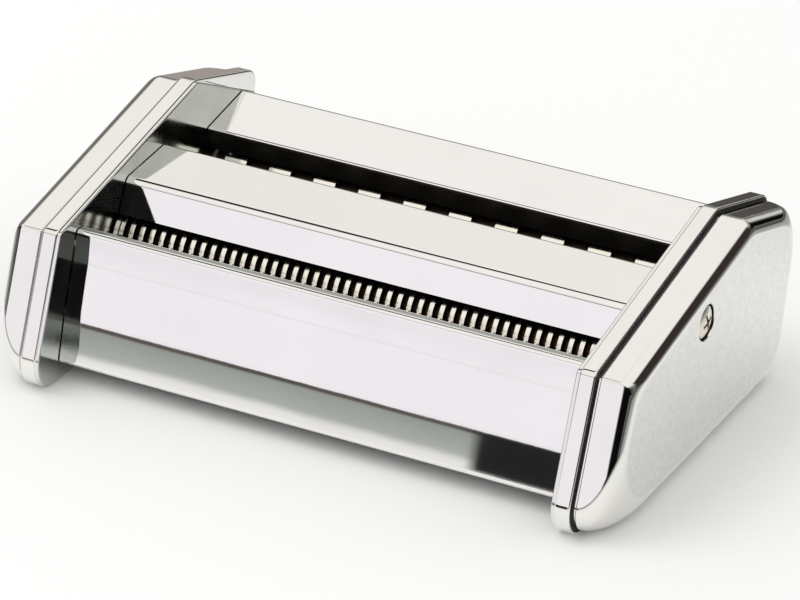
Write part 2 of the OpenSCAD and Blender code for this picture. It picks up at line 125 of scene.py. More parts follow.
def add_node(
    tree: NodeTree,
    kind: str,
    feeds: dict[str | int, object] | None = None,
    out: str | int = 0,
    **settings: object,
) -> NodeSocket | None:
    """Add one node with its settings and links.

    Args:
        tree: node tree that takes the node.
        kind: Blender's type name of the node.
        feeds: input name or index against a value, or the socket to link from.
        out: name or index of the output to return.
        settings: properties of the node itself.

    Returns:
        The output, or None where the node has none.
    """
    node = tree.nodes.new(kind)
    for name, value in settings.items():
        setattr(node, name, value)
    for key, value in (feeds or {}).items():
        if isinstance(value, NodeSocket):
            tree.links.new(value, node.inputs[key])
        else:
            node.inputs[key].default_value = value
    return node.outputs[out] if node.outputs else None


@dataclass(frozen=True)
class Finish:
    """A real finish: colour with a mottle, sheen with a spread, fine and slow relief.

    Lengths are in mm. grain gives the size of the fine relief along X, Y and Z.
    """

    name: str
    slot: str
    colour: str
    shade: str
    roughness: tuple[float, float]
    mottle: float
    grain: Triple
    relief: float
    wave: float = 0.0
    wave_relief: float = 0.0
    metallic: float = 1.0
    # What the mottle mostly spans of its noise
    span: ClassVar[tuple[float, float]] = (0.3, 0.7)

    def material(self) -> Material:
        """Make the material, once.

        Returns:
            The material.
        """
        made = bpy.data.materials.get(self.name)
        if made is not None:
            return made
        made = bpy.data.materials.new(self.name)
        made.use_nodes = True
        tree = made.node_tree
        add = partial(add_node, tree)
        shader = tree.nodes["Principled BSDF"].inputs
        shader["Metallic"].default_value = self.metallic
        coords = add(COORDS, out="Object")
        scale = 1 / (self.mottle * MM)
        mottle = add(NOISE, {"Vector": coords, "Scale": scale, "Detail": 3.0}, "Fac")
        tones = {6: hex_linear(self.colour), 7: hex_linear(self.shade)}
        tint = add(MIX, {0: mottle, **tones}, 2, data_type="RGBA")
        sheen = add(RANGE, dict(enumerate((mottle, *self.span, *self.roughness))))
        scales = [1 / (g * MM) for g in self.grain]
        stretch = add("ShaderNodeMapping", {"Vector": coords, "Scale": scales})
        fine = add(NOISE, {"Vector": stretch, "Scale": 1.0, "Detail": 2.0}, "Fac")
        relief = {"Height": fine, "Strength": 1.0, "Distance": self.relief * MM}
        if self.wave:
            scale = 1 / (self.wave * MM)
            slow = add(NOISE, {"Vector": coords, "Scale": scale, "Detail": 1.0}, "Fac")
            swell = {"Height": slow, "Strength": 1.0, "Distance": self.wave_relief * MM}
            relief["Normal"] = add(BUMP, swell)
        ends = {"Base Color": tint, "Roughness": sheen, "Normal": add(BUMP, relief)}
        for name, socket in ends.items():
            tree.links.new(socket, shader[name])
        return made


# Bright chrome on folded sheet: a mirror that the folding left slightly wavy
SHEET_CHROME = Finish(
    "chrome_on_folded_sheet", "chrome", "F4F2F1", "ECEAE9", (0.02, 0.05), 30.0,
    (1.6, 1.6, 1.6), 0.0012, 22.0, 0.03,
)
# Bright chrome on the pressed ends: polished bands, nearly flat mirrors
END_CHROME = Finish(
    "chrome_on_pressed_ends", "chrome", "F2F0EC", "E9E8E5", (0.02, 0.05), 22.0,
    (1.2, 1.2, 1.2), 0.0015, 10.0, 0.04,
)
# Bright chrome on the end faces: less polished, so the orange peel of the casting shows
FACE_CHROME = Finish(
    "chrome_with_orange_peel", "chrome", "F6F5F3", "D2D2CF", (0.08, 0.16), 1.2,
    (1.0, 1.0, 1.0), 0.03, 30.0, 0.02,
)
# Steel inside the covers and on the rear cover's lip: dull unplated steel, also painted dark as
# shade so the rollers mirror a dark underside
DULL_STEEL_AND_SHADE = Finish(
    "dull_steel_and_painted_shade", "chrome", "33312F", "24221F", (0.45, 0.6), 3.0,
    (0.5, 0.5, 0.5), 0.004,
)
# Grooves and recesses of the ends: painted black as shade, not metallic
GROOVE_SHADE = Finish(
    "painted_shade_in_grooves", "chrome", "1B1A18", "100F0E", (0.6, 0.75), 3.0,
    (0.5, 0.5, 0.5), 0.002, metallic=0.0,
)
# Bright rolled steel sheet: a soft mirror drawn out along the rolling direction
PLATE_STEEL = Finish(
    "bright_rolled_steel", "plate_steel", "C8CCC8", "B8BCB7", (0.08, 0.16), 14.0,
    (6.0, 6.0, 0.35), 0.0015,
)
# Cut edge of the plates: polished with the rims beside it, so nearly as bright
PLATE_EDGE = Finish(
    "polished_plate_edge", "plate_steel", "EFEDEA", "E2E0DC", (0.06, 0.12), 10.0,
    (0.6, 0.6, 0.6), 0.002,
)
# Lands of the rollers: ground and plated, a creamy satin with lines round the axis
ROLLER_CHROME = Finish(
    "ground_and_plated_lands", "roller_chrome", "FAF6EC", "EFEBE0", (0.14, 0.2), 9.0,
    (0.3, 5.0, 5.0), 0.0015,
)
# Grooves of the rollers: left as turned, coloured dark brown, much darker than the lands
GROOVE_STEEL = Finish(
    "turned_dark_brown_grooves", "roller_chrome", "5C4B40", "463931", (0.4, 0.55), 4.0,
    (0.25, 4.0, 4.0), 0.003,
)
# Spring steel strip of the combs: satin, with long draw lines
COMB_STEEL = Finish(
    "cold_rolled_strip", "comb_steel", "B4B6B8", "A3A5A8", (0.18, 0.3), 8.0,
    (12.0, 0.4, 0.4), 0.002,
)
# Bright zinc on rods, nuts and posts: pale, slightly blue and cloudy
ZINC_STEEL = Finish(
    "bright_zinc_on_steel", "zinc_steel", "C6C9CC", "AEB3B8", (0.16, 0.3), 5.0,
    (0.8, 0.8, 0.8), 0.002,
)
# Nickel on the cap screws: a warm, softly bright grey
NICKEL_STEEL = Finish(
    "nickel_on_steel", "zinc_steel", "F2ECE2", "DDD5C9", (0.1, 0.2), 4.0,
    (0.6, 0.6, 0.6), 0.002,
)
# Sintered gears: grey with a fine open grain and a film of oil
GEAR_STEEL = Finish(
    "sintered_gear_steel", "gear_steel", "8A8880", "6F6D66", (0.3, 0.45), 4.0,
    (0.4, 0.4, 0.4), 0.01,
)
# Blackened spring clips: dark oxide with worn lighter spots
CLIP_STEEL = Finish(
    "blackened_spring_steel", "spring_steel", "3A3A3D", "55555A", (0.3, 0.5), 2.0,
    (0.5, 0.5, 0.5), 0.003,
)
# Natural nylon bushes: ivory, waxy, faintly cloudy
BUSH_NYLON = Finish(
    "natural_nylon", "nylon", "E4DECC", "D8D1BC", (0.35, 0.5), 6.0,
    (0.9, 0.9, 0.9), 0.004, metallic=0.0,
)


def soften(bm: bmesh.types.BMesh, crease: float = CREASE) -> None:
    """Shade every face smooth and mark the edges above the crease angle as sharp.

    Args:
        bm: the mesh to change.
        crease: the angle in degrees.
    """
    for face in bm.faces:
        face.smooth = True
    for edge in bm.edges:
        edge.smooth = len(edge.link_faces) != 2 or edge.calc_face_angle() < math.radians(crease)


def reshade(
    mesh: Mesh, made: Mesh, crease: float = CREASE, weld: float = 0.0, outwards: bool = False
) -> Mesh:
    """Shade a mesh smooth up to a crease angle.

    Args:
        mesh: the mesh to read.
        made: the mesh that takes the result, which may be the same.
        crease: degrees above which an edge is sharp.
        weld: metres up to which vertices are first joined.
        outwards: True first turns the faces outwards.

    Returns:
        The mesh that took the result.
    """
    bm = bmesh.new()
    bm.from_mesh(mesh)
    if weld:
        bmesh.ops.remove_doubles(bm, verts=bm.verts, dist=weld)
    if outwards:
        bmesh.ops.recalc_face_normals(bm, faces=bm.faces)
    soften(bm, crease)
    bm.to_mesh(made)
    bm.free()
    return made


class Draft:
    """A closed mesh in the making, ring by ring."""

    def __init__(self) -> None:
        """Start an empty mesh."""
        self.bm = bmesh.new()

    def ring(self, points: Iterable[Vector]) -> Ring:
        """Add a closed row of vertices and return it."""
        return [self.bm.verts.new(p) for p in points]

    def skin(self, a: Ring, b: Ring, dull: Iterable[int] = (), index: int = 1) -> None:
        """Join two rings with quads.

        Args:
            a: first ring.
            b: second ring.
            dull: spans that take another finish.
            index: index of that finish.
        """
        for i, v in enumerate(a):
            j = (i + 1) % len(a)
            face = self.bm.faces.new((v, a[j], b[j], b[i]))
            face.material_index = index if i in dull else 0

    def loft(self, rings: Sequence[Ring], dull: Iterable[int] = (), index: int = 1) -> None:
        """Join each ring to the next; the steps named in dull take the finish of an index."""
        for i, (a, b) in enumerate(zip(rings, rings[1:])):
            self.skin(a, b, range(len(a)) if i in dull else (), index)

    def fill(self, *rings: Ring, index: int = 0) -> None:
        """Close a flat region.

        Args:
            rings: its outer ring, then its holes.
            index: index of its finish.
        """
        edges = []
        for ring in rings:
            for i, v in enumerate(ring):
                pair = (v, ring[(i + 1) % len(ring)])
                edges.append(self.bm.edges.get(pair) or self.bm.edges.new(pair))
        made = bmesh.ops.triangle_fill(self.bm, edges=edges, use_beauty=True)["geom"]
        for face in made:
            if isinstance(face, bmesh.types.BMFace):
                face.material_index = index

    def solid(self, rings: Sequence[Ring]) -> None:
        """Join each ring to the next and close both ends.

        Args:
            rings: the rings in order.
        """
        self.loft(rings)
        self.fill(rings[0])
        self.fill(rings[-1])

    def mesh(self, name: str) -> Mesh:
        """Turn the faces outwards, set the shading and finish the mesh.

        Args:
            name: name of the mesh.

        Returns:
            The finished mesh.
        """
        bmesh.ops.recalc_face_normals(self.bm, faces=self.bm.faces)
        soften(self.bm)
        made = bpy.data.meshes.new(name)
        self.bm.to_mesh(made)
        self.bm.free()
        return made


def put(name: str, data: ID) -> Object:
    """Make an object and link it to the scene.

    Args:
        name: name of the object.
        data: its mesh, lamp or camera.

    Returns:
        The object.
    """
    made = bpy.data.objects.new(name, data)
    bpy.context.scene.collection.objects.link(made)
    return made


def evaluated(
    mesh: Mesh, kind: str, inputs: dict[str, object] | None = None, **settings: object
) -> Mesh:
    """Run one modifier on a mesh and return the result as a plain mesh.

    Args:
        mesh: the mesh to start from.
        kind: Blender's type name of the modifier.
        inputs: input name against value, for a node tree.
        settings: properties of the modifier.

    Returns:
        The evaluated mesh.
    """
    holder = put(mesh.name + "_work", mesh)
    modifier = holder.modifiers.new("work", kind)
    for key, value in settings.items():
        setattr(modifier, key, value)
    if inputs:
        for item in modifier.node_group.interface.items_tree:
            if item.in_out == "INPUT" and item.name in inputs:
                modifier[item.identifier] = inputs[item.name]
    graph = bpy.context.evaluated_depsgraph_get()
    made = bpy.data.meshes.new_from_object(
        holder.evaluated_get(graph), preserve_all_data_layers=True, depsgraph=graph
    )
    made.name = mesh.name
    holder.modifiers.clear()
    bpy.data.objects.remove(holder)
    return made


def carve(mesh: Mesh, tool: Mesh) -> Mesh:
    """Cut the closed shape of a tool out of a mesh.

    Args:
        mesh: the mesh to cut.
        tool: the closed shape.

    Returns:
        The cut mesh, shaded again.
    """
    cutter = put(mesh.name + "_tool", tool)
    made = evaluated(
        mesh, "BOOLEAN", operation="DIFFERENCE", solver="EXACT", object=cutter, use_self=True
    )
    bpy.data.objects.remove(cutter)
    return reshade(made, made)


def node_tree(name: str, inputs: dict[str, str]) -> tuple[NodeTree, bpy_prop_collection]:
    """Start a geometry node tree with named inputs.

    Args:
        name: name of the tree.
        inputs: input name against the type of its socket.

    Returns:
        The tree and the sockets of its inputs.
    """
    tree = bpy.data.node_groups.new(name, "GeometryNodeTree")
    sockets = [("Geometry", "INPUT", "Geometry"), ("Geometry", "OUTPUT", "Geometry")]
    sockets += [(label, "INPUT", kind) for label, kind in inputs.items()]
    for label, side, kind in sockets:
        tree.interface.new_socket(label, in_out=side, socket_type="NodeSocket" + kind)
    return tree, add_node(tree, "NodeGroupInput").node.outputs


def close_tree(
    tree: NodeTree,
    sizes: bpy_prop_collection,
    piece: NodeSocket,
    start: NodeSocket,
    grooved: NodeSocket | None = None,
) -> None:
    """Set a piece in a row along X, join it to the input, give the materials and end the tree.

    Args:
        tree: the tree to end.
        sizes: its inputs.
        piece: the geometry that repeats.
        start: place of the first one.
        grooved: selection that takes the material of the input Groove.
    """
    add = partial(add_node, tree)
    step = add(JOIN, {"X": sizes["Pitch"]})
    line = {"Count": sizes["Count"], "Start Location": start, "Offset": step}
    row = add("GeometryNodeMeshLine", line)
    pieces = add("GeometryNodeInstanceOnPoints", {"Points": row, "Instance": piece})
    joined = add("GeometryNodeJoinGeometry", {0: pieces})
    tree.links.new(sizes["Geometry"], joined.node.inputs[0])
    plain = add("GeometryNodeRealizeInstances", {0: joined})
    dressed = add(PAINT, {0: plain, "Material": sizes["Material"]})
    if grooved is not None:
        groove = {"Selection": grooved, "Material": sizes["Groove"]}
        dressed = add(PAINT, {0: dressed, **groove})
    add("NodeGroupOutput", {0: dressed})


def settle(mesh: Mesh, body: str, node: str, finish: Finish, *more: Finish) -> None:
    """Make a finished piece of a mesh and set it on its body.

    Args:
        mesh: the mesh, in metres and in place.
        body: body that the piece rides on.
        node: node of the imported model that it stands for.
        finish: its main finish.
        more: further finishes, in the order of the faces' material indices.
    """
    if not mesh.materials:
        for each in (finish, *more):
            mesh.materials.append(each.material())
    piece = put(mesh.name, mesh)
    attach(piece, body)
    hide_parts(node)
    mesh.calc_loop_triangles()
    log.info("%s: %d triangles on %s", piece.name, len(mesh.loop_triangles), body)


def heading(angle: float) -> Vector:
    """Return the direction at an angle in the side frame."""
    return Vector((math.cos(angle), math.sin(angle)))


def corner_arc(a: Vector, p: Vector, b: Vector, r: float, n: int) -> list[Vector]:
    """Round one corner, with a holding point on the straight at each side.

    Args:
        a: corner before.
        p: the corner.
        b: corner after.
        r: radius.
        n: steps of the arc.

    Returns:
        Points from the side of a to the side of b.
    """
    ua, ub = (a - p).normalized(), (b - p).normalized()
    half = ua.angle(ub) / 2
    centre = p + (ua + ub).normalized() * r / math.sin(half)
    reach = r / math.tan(half)
    first = p + ua * reach - centre
    h0 = math.atan2(first.y, first.x)
    last = p + ub * reach - centre
    sweep = (math.atan2(last.y, last.x) - h0 + math.pi) % math.tau - math.pi
    turns = [h0 + sweep * i / n for i in range(n + 1)]
    arc = [centre + r * heading(h) for h in turns]
    return [p + ua * (reach + HOLD), *arc, p + ub * (reach + HOLD)]


def circle(centre: Vector, r: float, n: int = 48) -> list[Vector]:
    """Return n points of a circle in the side frame."""
    turns = [math.tau * i / n for i in range(n)]
    return [centre + r * heading(h) for h in turns]


@dataclass(frozen=True)
class SideOutline:
    """Outline of the ends in the side frame."""

    fold_height: float = 42.0
    slope_length: float = 72.8
    slope_angle: float = 11.6
    fall_length: float = 36.7
    fall_angle: float = 16.8
    front_lean: float = 20.0
    back_lean: float = 10.4
    plate_fall: float = 25.7
    rounds: tuple[float, ...] = (8.0, 8.0, 5.0, 6.0, 2.0)
    plate_rounds: tuple[float, ...] = (8.0, 8.0, 4.0, 4.0, 2.0)
    least_round: float = 0.3
    steps: int = 14

    def slope(self) -> Vector:
        """Return the direction of the sloping top."""
        return heading(math.radians(self.slope_angle))

    def corners(self) -> list[Vector]:
        """Find the corners of the rims.

        Returns:
            Toe, heel, crest, peak and fold.
        """
        peak = self.slope_length * self.slope()
        crest = peak + self.fall_length * heading(math.radians(-self.fall_angle))
        back = math.tan(math.radians(self.back_lean))
        heel = Vector((crest.x - (crest.y + self.fold_height) * back, -self.fold_height))
        front = math.tan(math.radians(self.front_lean))
        toe = Vector((-self.fold_height * front, -self.fold_height))
        return [toe, heel, crest, peak, Vector((0.0, 0.0))]

    def plate_corners(self) -> list[Vector]:
        """Find the corners of the plates, which fall further behind the peak.

        Returns:
            Toe, heel, crest, peak and fold.
        """
        toe, heel, crest, peak, fold = self.corners()
        back = math.tan(math.radians(self.back_lean))
        fall = math.tan(math.radians(self.plate_fall))
        run = (crest.x - peak.x) - (crest.y - peak.y) * back
        drop = run * fall / (1 + fall * back)
        return [toe, heel, Vector((peak.x + drop / fall, peak.y - drop)), peak, fold]

    def path(
        self, corners: Sequence[Vector], rounds: Sequence[float], inset: float
    ) -> list[Vector]:
        """Draw a closed outline.

        Args:
            corners: its corners.
            rounds: radius of each corner.
            inset: distance inwards.

        Returns:
            Points of the outline, as many for every inset.
        """
        m = len(corners)
        moved = []
        for i, p in enumerate(corners):
            ua = (corners[i - 1] - p).normalized()
            ub = (corners[(i + 1) % m] - p).normalized()
            moved.append(p + (ua + ub).normalized() * inset / math.sin(ua.angle(ub) / 2))
        points: list[Vector] = []
        for i, p in enumerate(moved):
            r = max(rounds[i] - inset, self.least_round)
            points += corner_arc(moved[i - 1], p, moved[(i + 1) % m], r, self.steps)
        return points

    def rim(self, inset: float) -> list[Vector]:
        """Return the rim outline at an inset."""
        return self.path(self.corners(), self.rounds, inset)

    def plate(self, inset: float) -> list[Vector]:
        """Return the plate outline at an inset."""
        return self.path(self.plate_corners(), self.plate_rounds, inset)

    def shift(self) -> float:
        """Return what moves the side frame's y onto the part's middle."""
        points = [p.x for p in self.rim(0.0)]
        return -(min(points) + max(points)) / 2


OUTLINE = SideOutline()
Y_SHIFT = OUTLINE.shift()


def place(p: Vector, x: float) -> Vector:
    """Turn a point of the side frame at a station along X into metres."""
    return Vector((x * MM, (p.x + Y_SHIFT) * MM, (p.y + OUTLINE.fold_height) * MM))


@dataclass(frozen=True)
class Stations:
    """Stations along X from the middle outwards."""

    plate: float = 72.9
    rim: float = 73.9
    floor: float = 75.6
    band: float = 78.1
    cap: float = 79.1
    face: float = 88.3
    screw_seat: float = 87.5
    cap_in: float = 86.8
    roller: float = 72.7
    collar: float = 76.9
    gear: float = 77.8
    gear_end: float = 83.4
    shaft: float = 84.7
    socket: float = 87.6


AT = Stations()


@dataclass(frozen=True)
class FoldedCover:
    """A sheet cover folded along X between the side plates."""

    node: str
    corners: tuple[tuple[float, float], ...]
    rounds: tuple[float, ...]
    thickness: float
    dull_shaded_spans: int = 0
    joint: float = 0.25
    steps: int = 12

    def build(self) -> Mesh:
        """Fold the sheet.

        Returns:
            Its mesh.
        """
        corners = [Vector(p) for p in self.corners]
        path = [corners[0]]
        for i, r in enumerate(self.rounds, start=1):
            path += corner_arc(corners[i - 1], corners[i], corners[i + 1], r, self.steps)
        path.append(corners[-1])
        back = []
        for i, p in enumerate(path):
            sides = [path[j + 1] - path[j] for j in (max(i - 1, 0), min(i, len(path) - 2))]
            normals = [Vector((-s.y, s.x)).normalized() for s in sides]
            mean = (normals[0] + normals[1]) / (1 + normals[0].dot(normals[1]))
            back.append(p + self.thickness * mean)
        section = path + back[::-1]
        draft = Draft()
        reach = AT.plate - self.joint
        left, right = (draft.ring(place(p, x) for p in section) for x in (-reach, reach))
        # The named spans and the inside take the dull steel painted dark as shade
        draft.skin(left, right, {*range(self.dull_shaded_spans), *range(len(path), len(section))})
        draft.fill(left)
        draft.fill(right)
        return draft.mesh(self.node)

    def dress(self) -> None:
        """Finish the cover in wavy sheet chrome outside and in dull steel painted dark as shade
        inside.
        """
        settle(self.build(), "frame", self.node, SHEET_CHROME, DULL_STEEL_AND_SHADE)


FRONT_COVER = FoldedCover(
    "front_cover",
    (
        (16.6, -9.48), (11.5, -2.57), (8.0, -2.4), (5.606, -11.634), (1.502, -24.288),
        (-1.487, -36.6), (3.313, -37.8),
    ),
    (2.6, 1.3, 59.85, 59.85, 1.0),
    0.8,
)
CENTRE_COVER = FoldedCover(
    "centre_cover",
    ((29.442, -6.8), (33.5, 1.9), (53.565, 3.463), (63.565, -9.437)),
    (2.4, 1.5),
    -0.8,
)
REAR_COVER = FoldedCover(
    "rear_cover",
    ((78.547, -8.0), (76.347, -1.5), (98.217, 2.317), (94.812, -36.6)),
    (1.0, 2.0),
    -0.8,
    # The first spans, the lip, take the dull steel painted dark as shade
    9,
)


@dataclass(frozen=True)
class Points:
    """Axes and fixing points in the side frame."""

    narrow_rear: tuple[float, float] = (37.0, -16.0)
    wide_setback: float = 20.9
    wide_drop: float = 16.0
    pair_gap: float = 15.6
    screw_offset: tuple[float, float] = (7.0, 13.0)
    # Tie rods from the front cover's middle, from between the pairs, from the last roller
    rod_offsets: tuple[tuple[float, float], ...] = ((5.5, -5.7), (-0.6, 3.6), (8.0, 11.0))

    def axis(self, cutter: Cutter, seat: Seat) -> Vector:
        """Find the axis of a roller.

        Args:
            cutter: its cutter.
            seat: its place in the pair.

        Returns:
            The axis in the side frame.
        """
        rear = Vector(self.narrow_rear)
        if cutter is Cutter.WIDE:
            rear = Vector((OUTLINE.corners()[2].x - self.wide_setback, -self.wide_drop))
        return rear if seat is Seat.REAR else rear - self.pair_gap * OUTLINE.slope()

    def screw(self) -> Vector:
        """Return the axis of the cap screws."""
        return Vector(self.narrow_rear) + Vector(self.screw_offset)

    def rods(self) -> list[Vector]:
        """Find the axes of the tie rods.

        Returns:
            The front, centre and rear axis.
        """
        middle = (Vector(self.narrow_rear) + self.axis(Cutter.WIDE, Seat.FRONT)) / 2
        last = self.axis(Cutter.WIDE, Seat.REAR)
        starts = (Vector(FRONT_COVER.corners[4]), middle, last)
        return [start + Vector(offset) for start, offset in zip(starts, self.rod_offsets)]


POINTS = Points()


def edge_round(x0: float, inset: float, r: float, inwards: bool, n: int = 5) -> Profile:
    """Round the edge of an end piece.

    Args:
        x0: station of the flat face at the edge.
        inset: inset of the band beside it.
        r: radius of the edge.
        inwards: True where the flat face looks to smaller X.
        n: steps.

    Returns:
        Station and inset pairs in the order of growing X.
    """
    turns = [math.pi / 2 * i / n for i in range(n + 1)]
    if inwards:
        return [(x0 + r * (1 - math.cos(h)), inset + r * (1 - math.sin(h))) for h in turns]
    return [(x0 - r * (1 - math.sin(h)), inset + r * (1 - math.cos(h))) for h in turns]


@dataclass(frozen=True)
class EndPiece:
    """What rims, plates and caps share: an end, holes, and rings lofted along X."""

    end: End
    plain_hole: float = 5.47
    drive_hole: float = 7.27
    rod_hole: float = 2.02
    small_steps: int = 24
    part: ClassVar[str] = ""

    @property
    def node(self) -> str:
        """Return the node that the piece stands for."""
        return f"{self.end.name.lower()}_{self.part}"

    def ring(self, draft: Draft, x: float, outline: Iterable[Vector]) -> Ring:
        """Draw an outline of the side frame at a station of this end."""
        return draft.ring(place(p, self.end.value * x) for p in outline)

    def pierce(
        self,
        draft: Draft,
        walls: Sequence[tuple[float, Ring]],
        holes: Sequence[list[Vector]],
        index: int = 0,
        sunk: Sequence[tuple[float, list[Vector]]] = (),
    ) -> None:
        """Close two faces of a wall and run holes through it.

        Args:
            draft: the mesh in the making.
            walls: station and boundary of the first and of the second face.
            holes: outlines of the holes in the side frame.
            index: finish of the second face.
            sunk: stations and outlines of one stepped hole, from the first face to the second.
        """
        (x0, inner), (x1, outer) = walls
        near, far = ([self.ring(draft, x, hole) for hole in holes] for x in (x0, x1))
        for a, b in zip(near, far):
            draft.skin(a, b)
        if sunk:
            rings = [self.ring(draft, x, outline) for x, outline in sunk]
            draft.loft(rings, range(len(rings) - 2), 2)
            near.append(rings[0])
            far.append(rings[-1])
        draft.fill(inner, *near)
        draft.fill(outer, *far, index=index)

    def holes(self) -> list[list[Vector]]:
        """Draw the holes for the bushes and tie rods of this end.

        Returns:
            Their outlines in the side frame.
        """
        rear = self.drive_hole if self.end is End.LEFT else self.plain_hole
        made = []
        for cutter in Cutter:
            made.append(circle(POINTS.axis(cutter, Seat.FRONT), self.plain_hole))
            made.append(circle(POINTS.axis(cutter, Seat.REAR), rear))
        return made + [circle(p, self.rod_hole, self.small_steps) for p in POINTS.rods()]


@dataclass(frozen=True)
class EndRim(EndPiece):
    """A shallow tray with rounded rims, its floor towards the rollers."""

    wall: float = 1.7
    edge: float = 0.45
    post_hole: float = 1.92
    part: ClassVar[str] = "rim"

    def build(self) -> Mesh:
        """Loft the band and the tray.

        Returns:
            The mesh.
        """
        draft = Draft()
        profile = [
            (AT.rim, self.edge + HOLD),
            *edge_round(AT.rim, 0.0, self.edge, True),
            (AT.rim + self.edge + HOLD, 0.0),
            (AT.band - self.edge - HOLD, 0.0),
            *edge_round(AT.band, 0.0, self.edge, False),
            (AT.band, self.edge + HOLD),
            (AT.band, self.wall),
            (AT.floor, self.wall),
        ]
        rings = [self.ring(draft, x, OUTLINE.rim(inset)) for x, inset in profile]
        steps = len(rings) - 1
        # Only the groove of the right end is painted black as shade; that of the left end keeps
        # the ends' chrome
        draft.loft(rings, range(steps - 3, steps) if self.end is End.RIGHT else ())
        holes = [*self.holes(), circle(POINTS.screw(), self.post_hole, self.small_steps)]
        self.pierce(draft, ((AT.rim, rings[0]), (AT.floor, rings[-1])), holes)
        return draft.mesh(self.node)

    def dress(self) -> None:
        """Finish the rim in the ends' chrome, with painted shade in its groove."""
        settle(self.build(), "frame", self.node, END_CHROME, GROOVE_SHADE)


@dataclass(frozen=True)
class SidePlate(EndPiece):
    """The steel plate inside a rim, which carries bushes and combs."""

    step: float = 0.4
    edge: float = 0.2
    tab_play: float = 0.02
    part: ClassVar[str] = "side_plate"

    def build(self) -> Mesh:
        """Loft the plate and pierce it.

        Returns:
            The mesh.
        """
        draft = Draft()
        profile = [
            (AT.plate, self.step + self.edge + HOLD),
            *edge_round(AT.plate, self.step, self.edge, True, 3),
            (AT.rim, self.step),
        ]
        rings = [self.ring(draft, x, OUTLINE.plate(inset)) for x, inset in profile]
        draft.loft(rings, [len(rings) - 2])
        combs = [StrippingComb(*roller) for roller in ROLLERS]
        holes = self.holes() + [comb.slot(self.tab_play) for comb in combs]
        self.pierce(draft, ((AT.plate, rings[0]), (AT.rim, rings[-1])), holes)
        return draft.mesh(self.node)

    def dress(self) -> None:
        """Finish the plate in bright rolled steel with a polished edge."""
        settle(self.build(), "frame", self.node, PLATE_STEEL, PLATE_EDGE)


@dataclass(frozen=True)
class EndCap(EndPiece):
    """The pressed outer cap, with a lip inside the rim and corners that grow rounder outwards.

    toe is the toe's last round as a share of the front edge, growth is that of heel, crest, peak
    and fold. Toe and crest grow across the band, the others only in the edge round.
    """

    inset: float = 1.3
    wall: float = 1.5
    edge: float = 4.0
    toe: float = 0.46
    growth: tuple[float, ...] = (8.0, 12.0, 12.0, 14.0)
    mouth: float = 0.35
    lip_reach: float = 1.6
    lip_inset: float = 1.85
    socket_hole: float = 6.6
    socket_steps: int = 64
    screw_hole: float = 2.2
    recess: float = 4.75
    recess_edge: float = 0.2
    band_steps: int = 8
    steps: int = 14
    part: ClassVar[str] = "end_cap"

    def section(self, draft: Draft, x: float, inset: float, share: float = 0.0) -> Ring:
        """Draw one outline of the cap.

        Args:
            draft: the mesh in the making.
            x: its station.
            inset: its distance inside the rim's outline.
            share: how much of the growth the corners have.

        Returns:
            The ring.
        """
        corners, rounds = OUTLINE.corners(), OUTLINE.rounds
        across = (max(x - AT.cap, 0.0) / (AT.face - AT.cap)) ** 2
        toe = self.toe * (corners[-1] - corners[0]).length - rounds[0]
        shares = (across, share, across, share, share)
        grown = [r + g * h for r, g, h in zip(rounds, (toe, *self.growth), shares)]
        return self.ring(draft, x, OUTLINE.path(corners, grown, inset))

    def crown(self, draft: Draft, x_end: float, inset: float, edge: float) -> list[Ring]:
        """Draw the rings of the edge between band and end face.

        Args:
            draft: the mesh in the making.
            x_end: station of the end face.
            inset: inset of the band.
            edge: radius of the edge.

        Returns:
            The rings from the band to the end face.
        """
        made = []
        for i in range(self.steps + 1):
            turn = math.pi / 2 * i / self.steps
            share = 1 - math.cos(turn)
            x = x_end - edge * (1 - math.sin(turn))
            made.append(self.section(draft, x, inset + edge * share, share))
        return made

    def build(self) -> Mesh:
        """Loft the cap with its lip.

        Returns:
            The mesh.
        """
        draft = Draft()
        lip, hollow = AT.band - self.lip_reach, self.inset + self.wall
        start = AT.cap + self.mouth + HOLD
        run = AT.face - self.edge - start
        band = [start + run * i / self.band_steps for i in range(self.band_steps)]
        profile = [(lip, self.lip_inset), (AT.cap, self.lip_inset)]
        profile += edge_round(AT.cap, self.inset, self.mouth, True, 4)
        profile += [(x, self.inset) for x in band]
        outer = [self.section(draft, x, inset) for x, inset in profile]
        outer += self.crown(draft, AT.face, self.inset, self.edge)
        outer.append(self.section(draft, AT.face, self.inset + self.edge + HOLD, 1.0))
        inner = [self.section(draft, lip, hollow)]
        inner += self.crown(draft, AT.cap_in, hollow, self.edge - self.wall)
        draft.loft(outer, [len(outer) - 2])
        draft.loft(inner)
        draft.skin(outer[0], inner[0])
        holes = []
        if self.end is End.LEFT:
            axes = [POINTS.axis(cutter, Seat.REAR) for cutter in Cutter]
            holes = [circle(axis, self.socket_hole, self.socket_steps) for axis in axes]
        bore = (
            (AT.cap_in, self.screw_hole), (AT.screw_seat, self.screw_hole),
            (AT.screw_seat, self.recess), (AT.face - self.recess_edge, self.recess),
            (AT.face, self.recess + self.recess_edge),
        )
        sunk = [(x, circle(POINTS.screw(), r)) for x, r in bore]
        # The walls of the screw recess take the third finish, painted black as shade
        self.pierce(draft, ((AT.cap_in, inner[-1]), (AT.face, outer[-1])), holes, 1, sunk)
        return draft.mesh(self.node)

    def dress(self) -> None:
        """Finish the cap in the ends' chrome, with orange peel on its face and painted shade in
        its screw recess.
        """
        settle(self.build(), "frame", self.node, END_CHROME, FACE_CHROME, GROOVE_SHADE)


